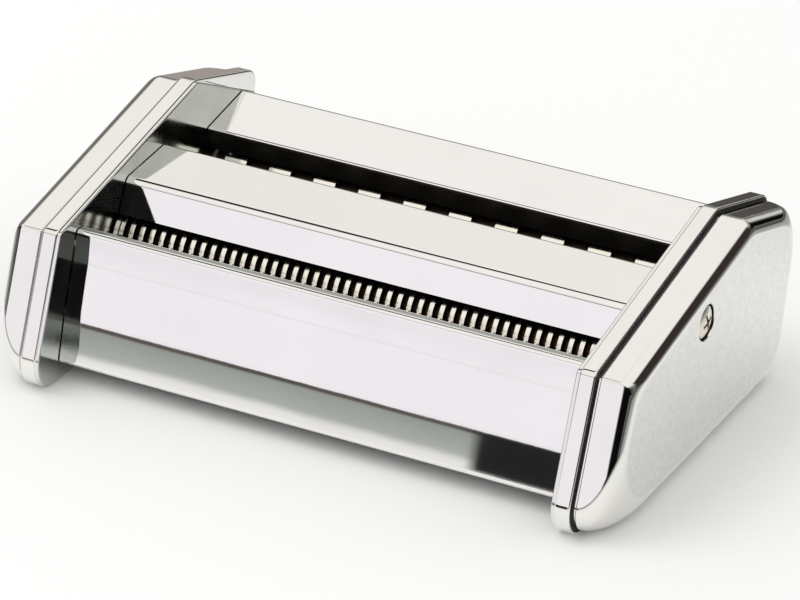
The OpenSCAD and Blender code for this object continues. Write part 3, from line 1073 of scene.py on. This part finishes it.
def ridge_tree() -> NodeTree:
    """Build the tree that sets the cutting ridges on a roller.

    Returns:
        A tree with the inputs Count, Pitch, First, Width, Outer, Root, Round, Land, Ends, Axis,
        Material and Groove.
    """
    reals = ("Pitch", "First", "Width", "Outer", "Root", "Round", "Land", "Ends")
    inputs = {"Count": "Int", **dict.fromkeys(reals, "Float"), "Axis": "Vector"}
    inputs |= dict.fromkeys(("Material", "Groove"), "Material")
    tree, sizes = node_tree("roller_ridges", inputs)
    add = partial(add_node, tree)
    radii = {0: sizes["Outer"], 1: sizes["Root"]}
    depth = add(MATH, radii, operation="SUBTRACT")
    middle = add(MATH, {0: add(MATH, radii), 1: 0.5}, operation="MULTIPLY")
    square = {"Width": depth, "Height": sizes["Width"]}
    section = add("GeometryNodeCurvePrimitiveQuadrilateral", square)
    bevel = {"Curve": section, "Radius": sizes["Round"], "Count": 3}
    rounded = add("GeometryNodeFilletCurve", bevel, mode="POLY")
    loop = add("GeometryNodeCurvePrimitiveCircle", {"Resolution": ROUND, "Radius": middle})
    ridge = add("GeometryNodeCurveToMesh", {"Curve": loop, "Profile Curve": rounded})
    turn = {"Geometry": ridge, "Rotation": (0.0, math.pi / 2, 0.0)}
    upright = add("GeometryNodeTransform", turn)
    bend = {0: add("GeometryNodeInputMeshEdgeAngle"), 1: math.radians(CREASE)}
    shading = {"Geometry": upright, "Shade Smooth": add(MATH, bend, operation="LESS_THAN")}
    smooth = add("GeometryNodeSetShadeSmooth", shading, domain="EDGE")
    first = add(JOIN, {"X": sizes["First"]})
    start = add(VECTOR, {0: first, 1: sizes["Axis"]})
    # What lies deeper than the lands and between the roller's ends is groove
    spot = {0: add("GeometryNodeInputPosition"), 1: sizes["Axis"]}
    from_axis = add(VECTOR, spot, operation="SUBTRACT")
    across = add(VECTOR, {0: from_axis, 1: (0.0, 1.0, 1.0)}, operation="MULTIPLY")
    radius = add(VECTOR, {0: across}, "Value", operation="LENGTH")
    deep = add(MATH, {0: radius, 1: sizes["Land"]}, operation="LESS_THAN")
    reach = add(MATH, {0: add(SPLIT, {0: from_axis}, "X")}, operation="ABSOLUTE")
    between = add(MATH, {0: reach, 1: sizes["Ends"]}, operation="LESS_THAN")
    grooved = add(MATH, {0: deep, 1: between}, operation="MULTIPLY")
    close_tree(tree, sizes, smooth, start, grooved)
    return tree


def finger_tree() -> NodeTree:
    """Build the tree that sets the fingers on a comb's spine.

    Returns:
        A tree with the inputs Count, Pitch, First, Size and Material.
    """
    inputs = {"Count": "Int", "Pitch": "Float", "First": "Vector", "Size": "Vector"}
    tree, sizes = node_tree("comb_fingers", inputs | {"Material": "Material"})
    blade = add_node(tree, "GeometryNodeMeshCube", {"Size": sizes["Size"]})
    close_tree(tree, sizes, blade, sizes["First"])
    return tree


def box_tool(draft: Draft, low: Vector, high: Vector, turn: Matrix | None = None) -> None:
    """Add a closed box to a tool mesh.

    Args:
        draft: the tool in the making.
        low: lowest corner in metres.
        high: highest corner in metres.
        turn: matrix that places the box.
    """
    corners = [(low.y, low.z), (high.y, low.z), (high.y, high.z), (low.y, high.z)]
    ends = []
    for x in (low.x, high.x):
        points = [Vector((x, y, z)) for y, z in corners]
        ends.append(draft.ring(turn @ p if turn else p for p in points))
    draft.solid(ends)


def lathe(draft: Draft, axis: Vector, profile: Profile, side: int = 1, n: int = ROUND) -> None:
    """Turn a profile about an axis along X and close its two ends.

    Args:
        draft: the mesh in the making.
        axis: the axis in the side frame.
        profile: station and radius pairs, in mm.
        side: -1 mirrors the stations.
        n: steps round the axis.
    """
    draft.solid([draft.ring(place(p, side * x) for p in circle(axis, r, n)) for x, r in profile])


@dataclass(frozen=True)
class CutterRoller:
    """A cutting roller: shaft with journals, and a row of square ridges."""

    cutter: Cutter
    seat: Seat
    ridge_r: float = 8.5
    floor_r: float = 6.0
    root_r: float = 5.6
    play: float = 0.15
    margin: float = 0.5
    ridge_round: float = 0.12
    journal_r: float = 4.0
    socket_od_r: float = 5.8
    socket_r: float = 4.1
    socket_depth: float = 16.0
    slot_half: float = 1.5
    slot_deep: float = 7.0
    slot_share: float = 0.9
    gear_r: float = 3.4
    gear_play: float = 0.3
    flat: float = 0.8
    flat_tool: float = 20.0
    groove: float = 0.5
    clip: float = 0.8
    clip_play: float = 0.05

    @property
    def name(self) -> str:
        """Return the roller's body name."""
        return f"{self.cutter.name}_{self.seat.name}".lower()

    @property
    def width(self) -> float:
        """Return the width of a ridge."""
        return self.cutter.pitch / 2 - self.play

    def ridges(self) -> list[float]:
        """Find the ridges that the roller has room for.

        Returns:
            Their middles along X.
        """
        pitch, limit = self.cutter.pitch, AT.roller - self.margin
        many = int(limit / pitch) + 2
        shift = self.cutter.shift + self.seat.value
        middles = [(k + shift) * pitch for k in range(-many, many + 1)]
        return [c for c in middles if abs(c) - self.width / 2 < limit]

    def grooves(self) -> list[float]:
        """Return the middles of the grooves that a comb finger can enter."""
        pitch = self.cutter.pitch
        return [c + pitch / 2 for c in self.ridges() if c + 0.75 * pitch < AT.roller]

    def shaft_profile(self, cut: Sequence[float]) -> Profile:
        """Draw the shaft with the ridges that the roller's ends cut short.

        Args:
            cut: middles of those ridges.

        Returns:
            Station and radius pairs.
        """
        driven = self.seat is Seat.REAR
        r_left = self.socket_od_r if driven else self.journal_r
        left = -AT.socket if driven else -AT.shaft
        profile = [(left, r_left)]
        if driven:
            bottom = self.socket_depth - AT.socket
            profile = [(bottom, self.socket_r), (left, self.socket_r), (left, r_left)]
        clip_at = AT.collar + self.clip_play
        profile += [
            (-clip_at - self.clip, r_left), (-clip_at - self.clip, r_left - self.groove),
            (-clip_at, r_left - self.groove), (-clip_at, r_left), (-AT.roller, r_left),
        ]
        low, high, half = -AT.roller, AT.roller, self.width / 2
        for c in (c for c in cut if c < 0):
            profile += [(low, self.ridge_r), (c + half, self.ridge_r)]
            low = c + half
        profile.append((low, self.floor_r))
        tail = [(high, self.floor_r)]
        for c in (c for c in cut if c > 0):
            tail = [(c - half, self.floor_r), (c - half, self.ridge_r), (high, self.ridge_r)]
        step, clip_at = AT.collar + self.gear_play, AT.gear_end + self.clip_play
        return profile + tail + [
            (high, self.journal_r), (step, self.journal_r), (step, self.gear_r),
            (clip_at, self.gear_r), (clip_at, self.gear_r - self.groove),
            (clip_at + self.clip, self.gear_r - self.groove), (clip_at + self.clip, self.gear_r),
            (AT.shaft, self.gear_r),
        ]

    def tools(self, axis: Vector) -> Mesh:
        """Make what is cut from the shaft: the gear's flat and the crank slot.

        Args:
            axis: the roller's axis.

        Returns:
            The mesh of the tools.
        """
        draft = Draft()
        half = self.flat_tool
        top = axis + Vector((0.0, self.gear_r - self.flat))
        low = place(top - Vector((half, 0.0)), AT.gear - self.gear_play)
        box_tool(draft, low, low + Vector((half, 2 * half, half)) * MM)
        if self.seat is Seat.REAR:
            reach = Vector((self.slot_half, self.slot_share * self.socket_r))
            x = self.socket_depth - AT.socket
            low = place(axis - reach, x - self.slot_deep)
            box_tool(draft, low, place(axis + reach, x + self.slot_deep))
        return draft.mesh(self.name + "_tool")

    def build(self, tree: NodeTree) -> Mesh:
        """Turn the shaft, cut it and set the ridges.

        Args:
            tree: node tree of the ridges.

        Returns:
            The mesh.
        """
        axis = POINTS.axis(self.cutter, self.seat)
        middles = self.ridges()
        cut = [c for c in middles if abs(c) + self.width / 2 > AT.roller]
        whole = [c for c in middles if c not in cut]
        draft = Draft()
        lathe(draft, axis, self.shaft_profile(cut))
        shaft = carve(draft.mesh(self.name + "_roller"), self.tools(axis))
        land, groove = ROLLER_CHROME.material(), GROOVE_STEEL.material()
        shaft.materials.append(land)
        shaft.materials.append(groove)
        lengths = {
            "Pitch": self.cutter.pitch,
            "First": whole[0],
            "Width": self.width,
            "Outer": self.ridge_r,
            "Root": self.root_r,
            "Round": self.ridge_round,
            "Land": self.ridge_r - 2 * self.ridge_round,
            "Ends": AT.roller,
        }
        values = {name: length * MM for name, length in lengths.items()}
        values |= {"Count": len(whole), "Axis": place(axis, 0.0)}
        values |= {"Material": land, "Groove": groove}
        return evaluated(shaft, "NODES", values, node_group=tree)

    def dress(self, tree: NodeTree) -> None:
        """Finish the roller in turned chrome."""
        settle(self.build(tree), self.name, self.name + "_roller", ROLLER_CHROME)


@dataclass(frozen=True)
class StrippingComb:
    """A strip with fingers that lift the dough out of a roller's grooves."""

    cutter: Cutter
    seat: Seat
    thick: float = 0.8
    spine: float = 6.0
    clear: float = 0.35
    angle: float = 50.0
    lift: float = 0.3
    tip: float = 0.4
    reach: float = 2.0
    tab_step: float = 0.5

    @property
    def roller(self) -> CutterRoller:
        """Return the roller that the comb strips."""
        return CutterRoller(self.cutter, self.seat)

    @property
    def back(self) -> float:
        """Return the distance from the touching point to the spine."""
        near = self.roller.floor_r + self.lift
        return math.sqrt((self.roller.ridge_r + self.tip) ** 2 - near**2)

    def seat_matrix(self) -> Matrix:
        """Find the comb's place on its roller.

        Returns:
            The matrix from the flat comb in mm to its place in metres.
        """
        slope = Matrix.Rotation(math.radians(OUTLINE.slope_angle), 4, "X")
        flip = Matrix.Diagonal((1.0, -1.0 if self.seat is Seat.REAR else 1.0, 1.0, 1.0))
        lean = Matrix.Rotation(math.radians(-self.angle), 4, "X")
        out = Matrix.Translation((0.0, self.roller.floor_r + self.lift + self.thick, 0.0))
        flat = Matrix.Rotation(math.radians(90.0), 4, "X")
        at = Matrix.Translation(place(POINTS.axis(self.cutter, self.seat), 0.0))
        return at @ Matrix.Scale(MM, 4) @ slope @ flip @ lean @ out @ flat

    def slot(self, play: float) -> list[Vector]:
        """Draw the comb's slot in a side plate.

        Args:
            play: clearance round the tab.

        Returns:
            The outline in the side frame.
        """
        low = -self.back - self.spine + self.tab_step - play
        high = -self.back - self.tab_step + play
        under, over = -play, self.thick + play
        flat = ((low, under), (high, under), (high, over), (low, over))
        points = [self.seat_matrix() @ Vector((0.0, y, z)) / MM for y, z in flat]
        return [Vector((p.y - Y_SHIFT, p.z - OUTLINE.fold_height)) for p in points]

    def build(self, tree: NodeTree) -> Mesh:
        """Cut the spine, set the fingers and lay the comb in place.

        Args:
            tree: node tree of the fingers.

        Returns:
            The mesh.
        """
        wide, tab = AT.plate, AT.rim
        low, high = -self.back - self.spine, -self.back
        first, last = low + self.tab_step, high - self.tab_step
        outline = [
            (-wide, low), (wide, low), (wide, first), (tab, first), (tab, last), (wide, last),
            (wide, high), (-wide, high), (-wide, last), (-tab, last), (-tab, first),
            (-wide, first),
        ]
        draft = Draft()
        flats = (0.0, self.thick)
        draft.solid([draft.ring(Vector((x, y, z)) for x, y in outline) for z in flats])
        strip = draft.mesh(self.roller.name + "_comb")
        strip.materials.append(COMB_STEEL.material())
        grooves = self.roller.grooves()
        finger = self.roller.width + 2 * self.roller.play - 2 * self.clear
        long = self.back + self.reach
        values = {
            "Count": len(grooves),
            "Pitch": self.cutter.pitch,
            "First": Vector((grooves[0], last + long / 2, self.thick / 2)),
            "Size": Vector((finger, long, self.thick)),
            "Material": COMB_STEEL.material(),
        }
        made = evaluated(strip, "NODES", values, node_group=tree)
        made.transform(self.seat_matrix())
        return reshade(made, made, outwards=True)

    def dress(self, tree: NodeTree) -> None:
        """Finish the comb in cold rolled strip."""
        settle(self.build(tree), "frame", self.roller.name + "_comb", COMB_STEEL)


@dataclass(frozen=True)
class CapScrews:
    """The two pan head screws that hold the caps, sunk in them, with crossed recesses."""

    head_r: float = 4.2
    head_h: float = 1.15
    rim_h: float = 0.35
    shank_r: float = 1.9
    shank_end: float = 78.6
    wing: float = 2.3
    recess_w: float = 0.95
    recess_d: float = 1.1
    turns: tuple[float, float] = (20.0, 110.0)
    steps: int = 10
    round_steps: int = 64

    def head_profile(self) -> Profile:
        """Draw a screw from the shank's end over the domed head.

        Returns:
            Station and radius pairs.
        """
        rise = self.head_h - self.rim_h
        dome_r = (self.head_r**2 + rise**2) / (2 * rise)
        widest = math.asin(self.head_r / dome_r)
        seat = AT.screw_seat
        profile = [(self.shank_end, self.shank_r), (seat, self.shank_r), (seat, self.head_r)]
        for i in range(self.steps):
            turn = widest * (1 - i / self.steps)
            height = self.head_h - dome_r * (1 - math.cos(turn))
            profile.append((seat + height, dome_r * math.sin(turn)))
        return profile

    def build(self) -> Mesh:
        """Turn both screws and cut their recesses.

        Returns:
            One mesh of both.
        """
        draft, tool = Draft(), Draft()
        axis = POINTS.screw()
        half = Vector((self.recess_d, self.recess_w / 2, self.wing)) * MM
        for end in End:
            lathe(draft, axis, self.head_profile(), end.value, self.round_steps)
            middle = place(axis, end.value * (AT.screw_seat + self.head_h))
            for angle in self.turns:
                turn = Matrix.Translation(middle) @ Matrix.Rotation(math.radians(angle), 4, "X")
                box_tool(tool, -half, half, turn)
        return carve(draft.mesh("cap_screws"), tool.mesh("cap_screws_tool"))

    def dress(self) -> None:
        """Finish the screws in nickel."""
        settle(self.build(), "frame", "cap_screws", NICKEL_STEEL)


@dataclass(frozen=True)
class SmallHardware:
    """Rods, nuts, posts, bushes, gears and clips: the solids with smooth shading."""

    node: str
    body: str
    finish: Finish
    crease: float = 30.0
    weld: float = 1e-6

    def build(self) -> Mesh:
        """Weld a copy of the solid's triangles and shade it."""
        made = bpy.data.meshes.new(self.node + "_piece")
        return reshade(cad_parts[self.node].data, made, self.crease, self.weld)

    def dress(self) -> None:
        """Finish the piece on its body."""
        settle(self.build(), self.body, self.node, self.finish)


FRONT_CARD, DARK = "FDFAFF", "0B0B0B"
OPEN = 2.0  # past every part of a direction, so a window has no edge there


@dataclass(frozen=True)
class Studio:
    """Pale floor, soft light from above, and a camera where the photograph's stood."""

    floor_colour: str = "F9FAF8"
    floor_roughness: float = 0.9
    floor_specular: float = 0.03
    floor_half: float = 4.0
    footprint: Triple = (0.088, 0.058, 0.0)
    # Metres from the object against what the metal sees of the floor there
    floor_seen: Stops = (
        (0.0, "FFFFFD"), (0.06, "F6F6F4"), (0.095, "EAEAE8"), (0.12, "ACB1AC"), (0.25, "8C928D"),
        (0.31, "61564F"), (0.4, "4A4542"), (0.8, "60615F"),
    )
    # Glossy rays see a dark patch painted on the floor before the front cover, which the cover
    # shows as a painted reflection; the turn below takes the floor's distance from its edge
    flag_turn: Triple = (1.0, -0.404, 0.0)
    card_turn: Triple = (-0.39, -0.92, 0.0)
    floor_cards: Cards = (
        (FRONT_CARD, {"front": (0.8, OPEN, 0.06), "away": (0.9, 100.0, 0.1)}),
        (DARK, {"dark_patch": (0.065, 0.11, 0.002), "y": (-0.7, -0.13, 0.01)}),
        ("A39A96", {"x": (-2.0, -0.2, 0.05), "y": (0.3, 2.0, 0.05)}),
    )
    room_light: float = 0.9
    # Height of a direction against what the metal sees of the room there
    room_seen: Stops = (
        (0.0, "6A6C69"), (0.2, "6A6C69"), (0.38, "A5AAA3"), (0.5, "F4F3ED"), (0.58, "F8F7F1"),
        (0.68, "FFFDFA"), (1.0, "FFFDFA"),
    )
    # Cards on the left and behind, dark gaps there, the front card between its gaps, and
    # dark cards on the right
    room_cards: Cards = (
        ("7A7773", {"x": (-OPEN, -0.58, 0.08), "y": (0.0, OPEN, 0.1), "z": (-OPEN, 0.5, 0.05)}),
        ("D6D6D2", {"x": (-0.3, 0.03, 0.05), "y": (0.8, OPEN, 0.1), "z": (0.05, 0.3, 0.03)}),
        (DARK, {"x": (0.08, 0.5, 0.05), "y": (0.6, OPEN, 0.1), "z": (-0.05, 0.2, 0.02)}),
        (DARK, {"x": (-OPEN, -0.28, 0.04), "y": (0.0, OPEN, 0.1), "z": (0.79, 0.915, 0.01)}),
        (DARK, {"y": (-OPEN, -0.1, 0.1), "z": (0.365, 0.415, 0.012)}),
        (FRONT_CARD, {"z": (-OPEN, 0.365, 0.012), "front": (0.8, OPEN, 0.06)}),
        (DARK, {"x": (-OPEN, -0.78, 0.04), "y": (-0.65, 0.1, 0.05), "z": (-OPEN, 0.3, 0.05)}),
        (DARK, {"x": (0.2, OPEN, 0.08), "y": (-OPEN, 0.1, 0.3), "z": (-OPEN, 0.42, 0.1)}),
        ("37302F", {"x": (0.5, OPEN, 0.06), "y": (0.5, OPEN, 0.08), "z": (-OPEN, 0.64, 0.06)}),
    )
    lamp_size: float = 1.2
    lamp_power: float = 6.0
    lamp_place: Triple = (-0.7, -0.5, 1.5)
    lamp_aim: Triple = (0.0, 0.0, 0.02)
    eye: Triple = (0.489610, -0.987114, 0.590518)
    right: Triple = (0.88932863, 0.45639057, 0.02832375)
    down: Triple = (0.23210757, -0.39718433, -0.88790241)
    forward: Triple = (-0.39398053, 0.79621119, -0.4591591)
    lens: float = 215.285
    sensor: float = 36.0
    near: float = 0.01
    far: float = 100.0

    def fill_ramp(self, ramp: NodeSocket, stops: Stops) -> None:
        """Set the stops of a colour ramp.

        Args:
            ramp: a socket of its node.
            stops: positions and colours.
        """
        elements = ramp.node.color_ramp.elements
        for element, (position, colour) in zip(elements, (stops[0], stops[-1])):
            element.position, element.color = position, hex_linear(colour)
        for position, colour in stops[1:-1]:
            elements.new(position).color = hex_linear(colour)

    def lay(
        self, tree: NodeTree, under: NodeSocket, cards: Cards, values: dict[str, NodeSocket]
    ) -> NodeSocket:
        """Lay cards over a colour, each where all its windows are open.

        Args:
            tree: the tree of the floor or the world.
            under: the colour below.
            cards: the cards from the lowest to the highest.
            values: name against the value that a window bounds.

        Returns:
            The socket with the result.
        """
        add = partial(add_node, tree)
        for colour, windows in cards:
            cover: NodeSocket | float = 1.0
            for name, (low, high, soft) in windows.items():
                for edge, before, after in ((low, 0.0, 1.0), (high, 1.0, 0.0)):
                    slide = (values[name], edge - soft, edge + soft, before, after)
                    part = add(RANGE, dict(enumerate(slide)))
                    cover = add(MATH, {0: cover, 1: part}, operation="MULTIPLY")
            under = add(MIX, {0: cover, 6: under, 7: hex_linear(colour)}, 2, data_type="RGBA")
        return under

    def paper(self) -> Material:
        """Make the floor's paper, which the metal sees darken away from the object.

        Returns:
            The material.
        """
        paper = bpy.data.materials.new("matt_studio_paper")
        paper.use_nodes = True
        tree = paper.node_tree
        add = partial(add_node, tree)
        shader = tree.nodes["Principled BSDF"].inputs
        shader["Roughness"].default_value = self.floor_roughness
        shader["Specular IOR Level"].default_value = self.floor_specular
        spot = add(COORDS, out="Object")
        aside = add(VECTOR, {0: spot}, operation="ABSOLUTE")
        past = add(VECTOR, {0: aside, 1: self.footprint}, operation="SUBTRACT")
        outside = add(VECTOR, {0: past, 1: (0.0, 0.0, 0.0)}, operation="MAXIMUM")
        away = add(VECTOR, {0: outside}, "Value", operation="LENGTH")
        near = add(RAMP, {0: away})
        self.fill_ramp(near, self.floor_seen)
        turn = add(VECTOR, {0: spot}, operation="NORMALIZE")
        front = add(VECTOR, {0: turn, 1: self.card_turn}, "Value", operation="DOT_PRODUCT")
        dark_patch = add(VECTOR, {0: spot, 1: self.flag_turn}, "Value", operation="DOT_PRODUCT")
        x, y, _ = add(SPLIT, {0: spot}).node.outputs
        values = {"x": x, "y": y, "front": front, "dark_patch": dark_patch, "away": away}
        seen = self.lay(tree, near, self.floor_cards, values)
        tones = {0: add(PATH, out="Is Glossy Ray"), 6: hex_linear(self.floor_colour), 7: seen}
        tree.links.new(add(MIX, tones, 2, data_type="RGBA"), shader["Base Color"])
        # Seen from below, the floor gives way to the object's underside
        below = add("ShaderNodeNewGeometry", out="Backfacing")
        tree.links.new(add(MATH, {0: 1.0, 1: below}, operation="SUBTRACT"), shader["Alpha"])
        return paper

    def floor(self) -> None:
        """Lay a pale paper floor under the object."""
        draft = Draft()
        h = self.floor_half
        corners = [(-h, -h), (h, -h), (h, h), (-h, h)]
        draft.fill(draft.ring(Vector((x, y, 0.0)) for x, y in corners))
        mesh = draft.mesh("floor")
        if mesh.polygons[0].normal.z < 0:
            mesh.flip_normals()
        mesh.materials.append(self.paper())
        floor = put("floor", mesh)

    def surround(self) -> None:
        """White room for the floor; the metal sees cards and dark gaps, which draw its edges."""
        world = bpy.data.worlds.new("studio")
        bpy.context.scene.world = world
        world.use_nodes = True
        tree = world.node_tree
        tree.nodes.clear()
        add = partial(add_node, tree)
        ray = add(COORDS, out="Generated")
        x, y, z = add(SPLIT, {0: ray}).node.outputs
        front = add(VECTOR, {0: ray, 1: self.card_turn}, "Value", operation="DOT_PRODUCT")
        heights = add(RAMP, {0: z})
        self.fill_ramp(heights, self.room_seen)
        values = {"x": x, "y": y, "z": z, "front": front}
        room = self.lay(tree, heights, self.room_cards, values)
        path = add(PATH).node.outputs
        white = hex_linear("FFFFFF")
        soft = [c * self.room_light for c in white[:3]] + [1.0]
        air = add(MIX, {0: path["Is Camera Ray"], 6: soft, 7: white}, 2, data_type="RGBA")
        shown = add(MIX, {0: path["Is Glossy Ray"], 6: air, 7: room}, 2, data_type="RGBA")
        background = add("ShaderNodeBackground", {"Color": shown, "Strength": 1.0})
        add("ShaderNodeOutputWorld", {"Surface": background})

    def lamps(self) -> None:
        """Hang one large soft lamp above the front left; the metal doesn't mirror it."""
        lamp = bpy.data.lights.new("soft_box", "AREA")
        lamp.shape, lamp.size, lamp.energy = "DISK", self.lamp_size, self.lamp_power
        holder = put("soft_box", lamp)
        holder.location = self.lamp_place
        aim = Vector(self.lamp_aim) - holder.location
        holder.rotation_euler = aim.to_track_quat("-Z", "Y").to_euler()
        holder.visible_glossy = False

    def camera(self) -> None:
        """Set the camera at the photograph's place, turn and focal length."""
        data = bpy.data.cameras.new("camera")
        data.sensor_fit, data.sensor_width, data.lens = "HORIZONTAL", self.sensor, self.lens
        data.clip_start, data.clip_end = self.near, self.far
        camera = put("camera", data)
        axes = [Vector(self.right), -Vector(self.down), -Vector(self.forward)]
        turn = Matrix(axes).transposed().to_4x4()
        camera.matrix_world = Matrix.Translation(self.eye) @ turn
        bpy.context.scene.camera = camera

    def build(self) -> None:
        """Set up floor, surround, lamps, camera and the plain view transform."""
        self.floor()
        self.surround()
        self.lamps()
        self.camera()
        bpy.context.scene.view_settings.view_transform = "Standard"


def hardware() -> list[SmallHardware]:
    """List the small pieces with their bodies and finishes.

    Returns:
        The pieces.
    """
    rods = ("front_tie_rod", "centre_tie_rod", "rear_tie_rod")
    zinc = (*rods, "tie_rod_nuts", "left_cap_post", "right_cap_post")
    made = [SmallHardware(node, "frame", ZINC_STEEL) for node in zinc]
    made += [SmallHardware(node, "frame", BUSH_NYLON) for node in ("plain_bushes", "drive_bushes")]
    for roller in ROLLERS:
        body = CutterRoller(*roller).name
        made.append(SmallHardware(body + "_gear", body, GEAR_STEEL))
        made.append(SmallHardware(body + "_clips", body, CLIP_STEEL))
    return made


def main() -> None:
    """Build every sub-assembly in order, then the studio."""
    logging.basicConfig(level=logging.INFO, format="%(name)s %(message)s")
    for end in End:
        for piece in (EndRim(end), SidePlate(end), EndCap(end)):
            piece.dress()
    for cover in (FRONT_COVER, CENTRE_COVER, REAR_COVER):
        cover.dress()
    ridges, fingers = ridge_tree(), finger_tree()
    for roller in ROLLERS:
        CutterRoller(*roller).dress(ridges)
        StrippingComb(*roller).dress(fingers)
    CapScrews().dress()
    for piece in hardware():
        piece.dress()
    Studio().build()


if __name__ == "__main__":
    main()
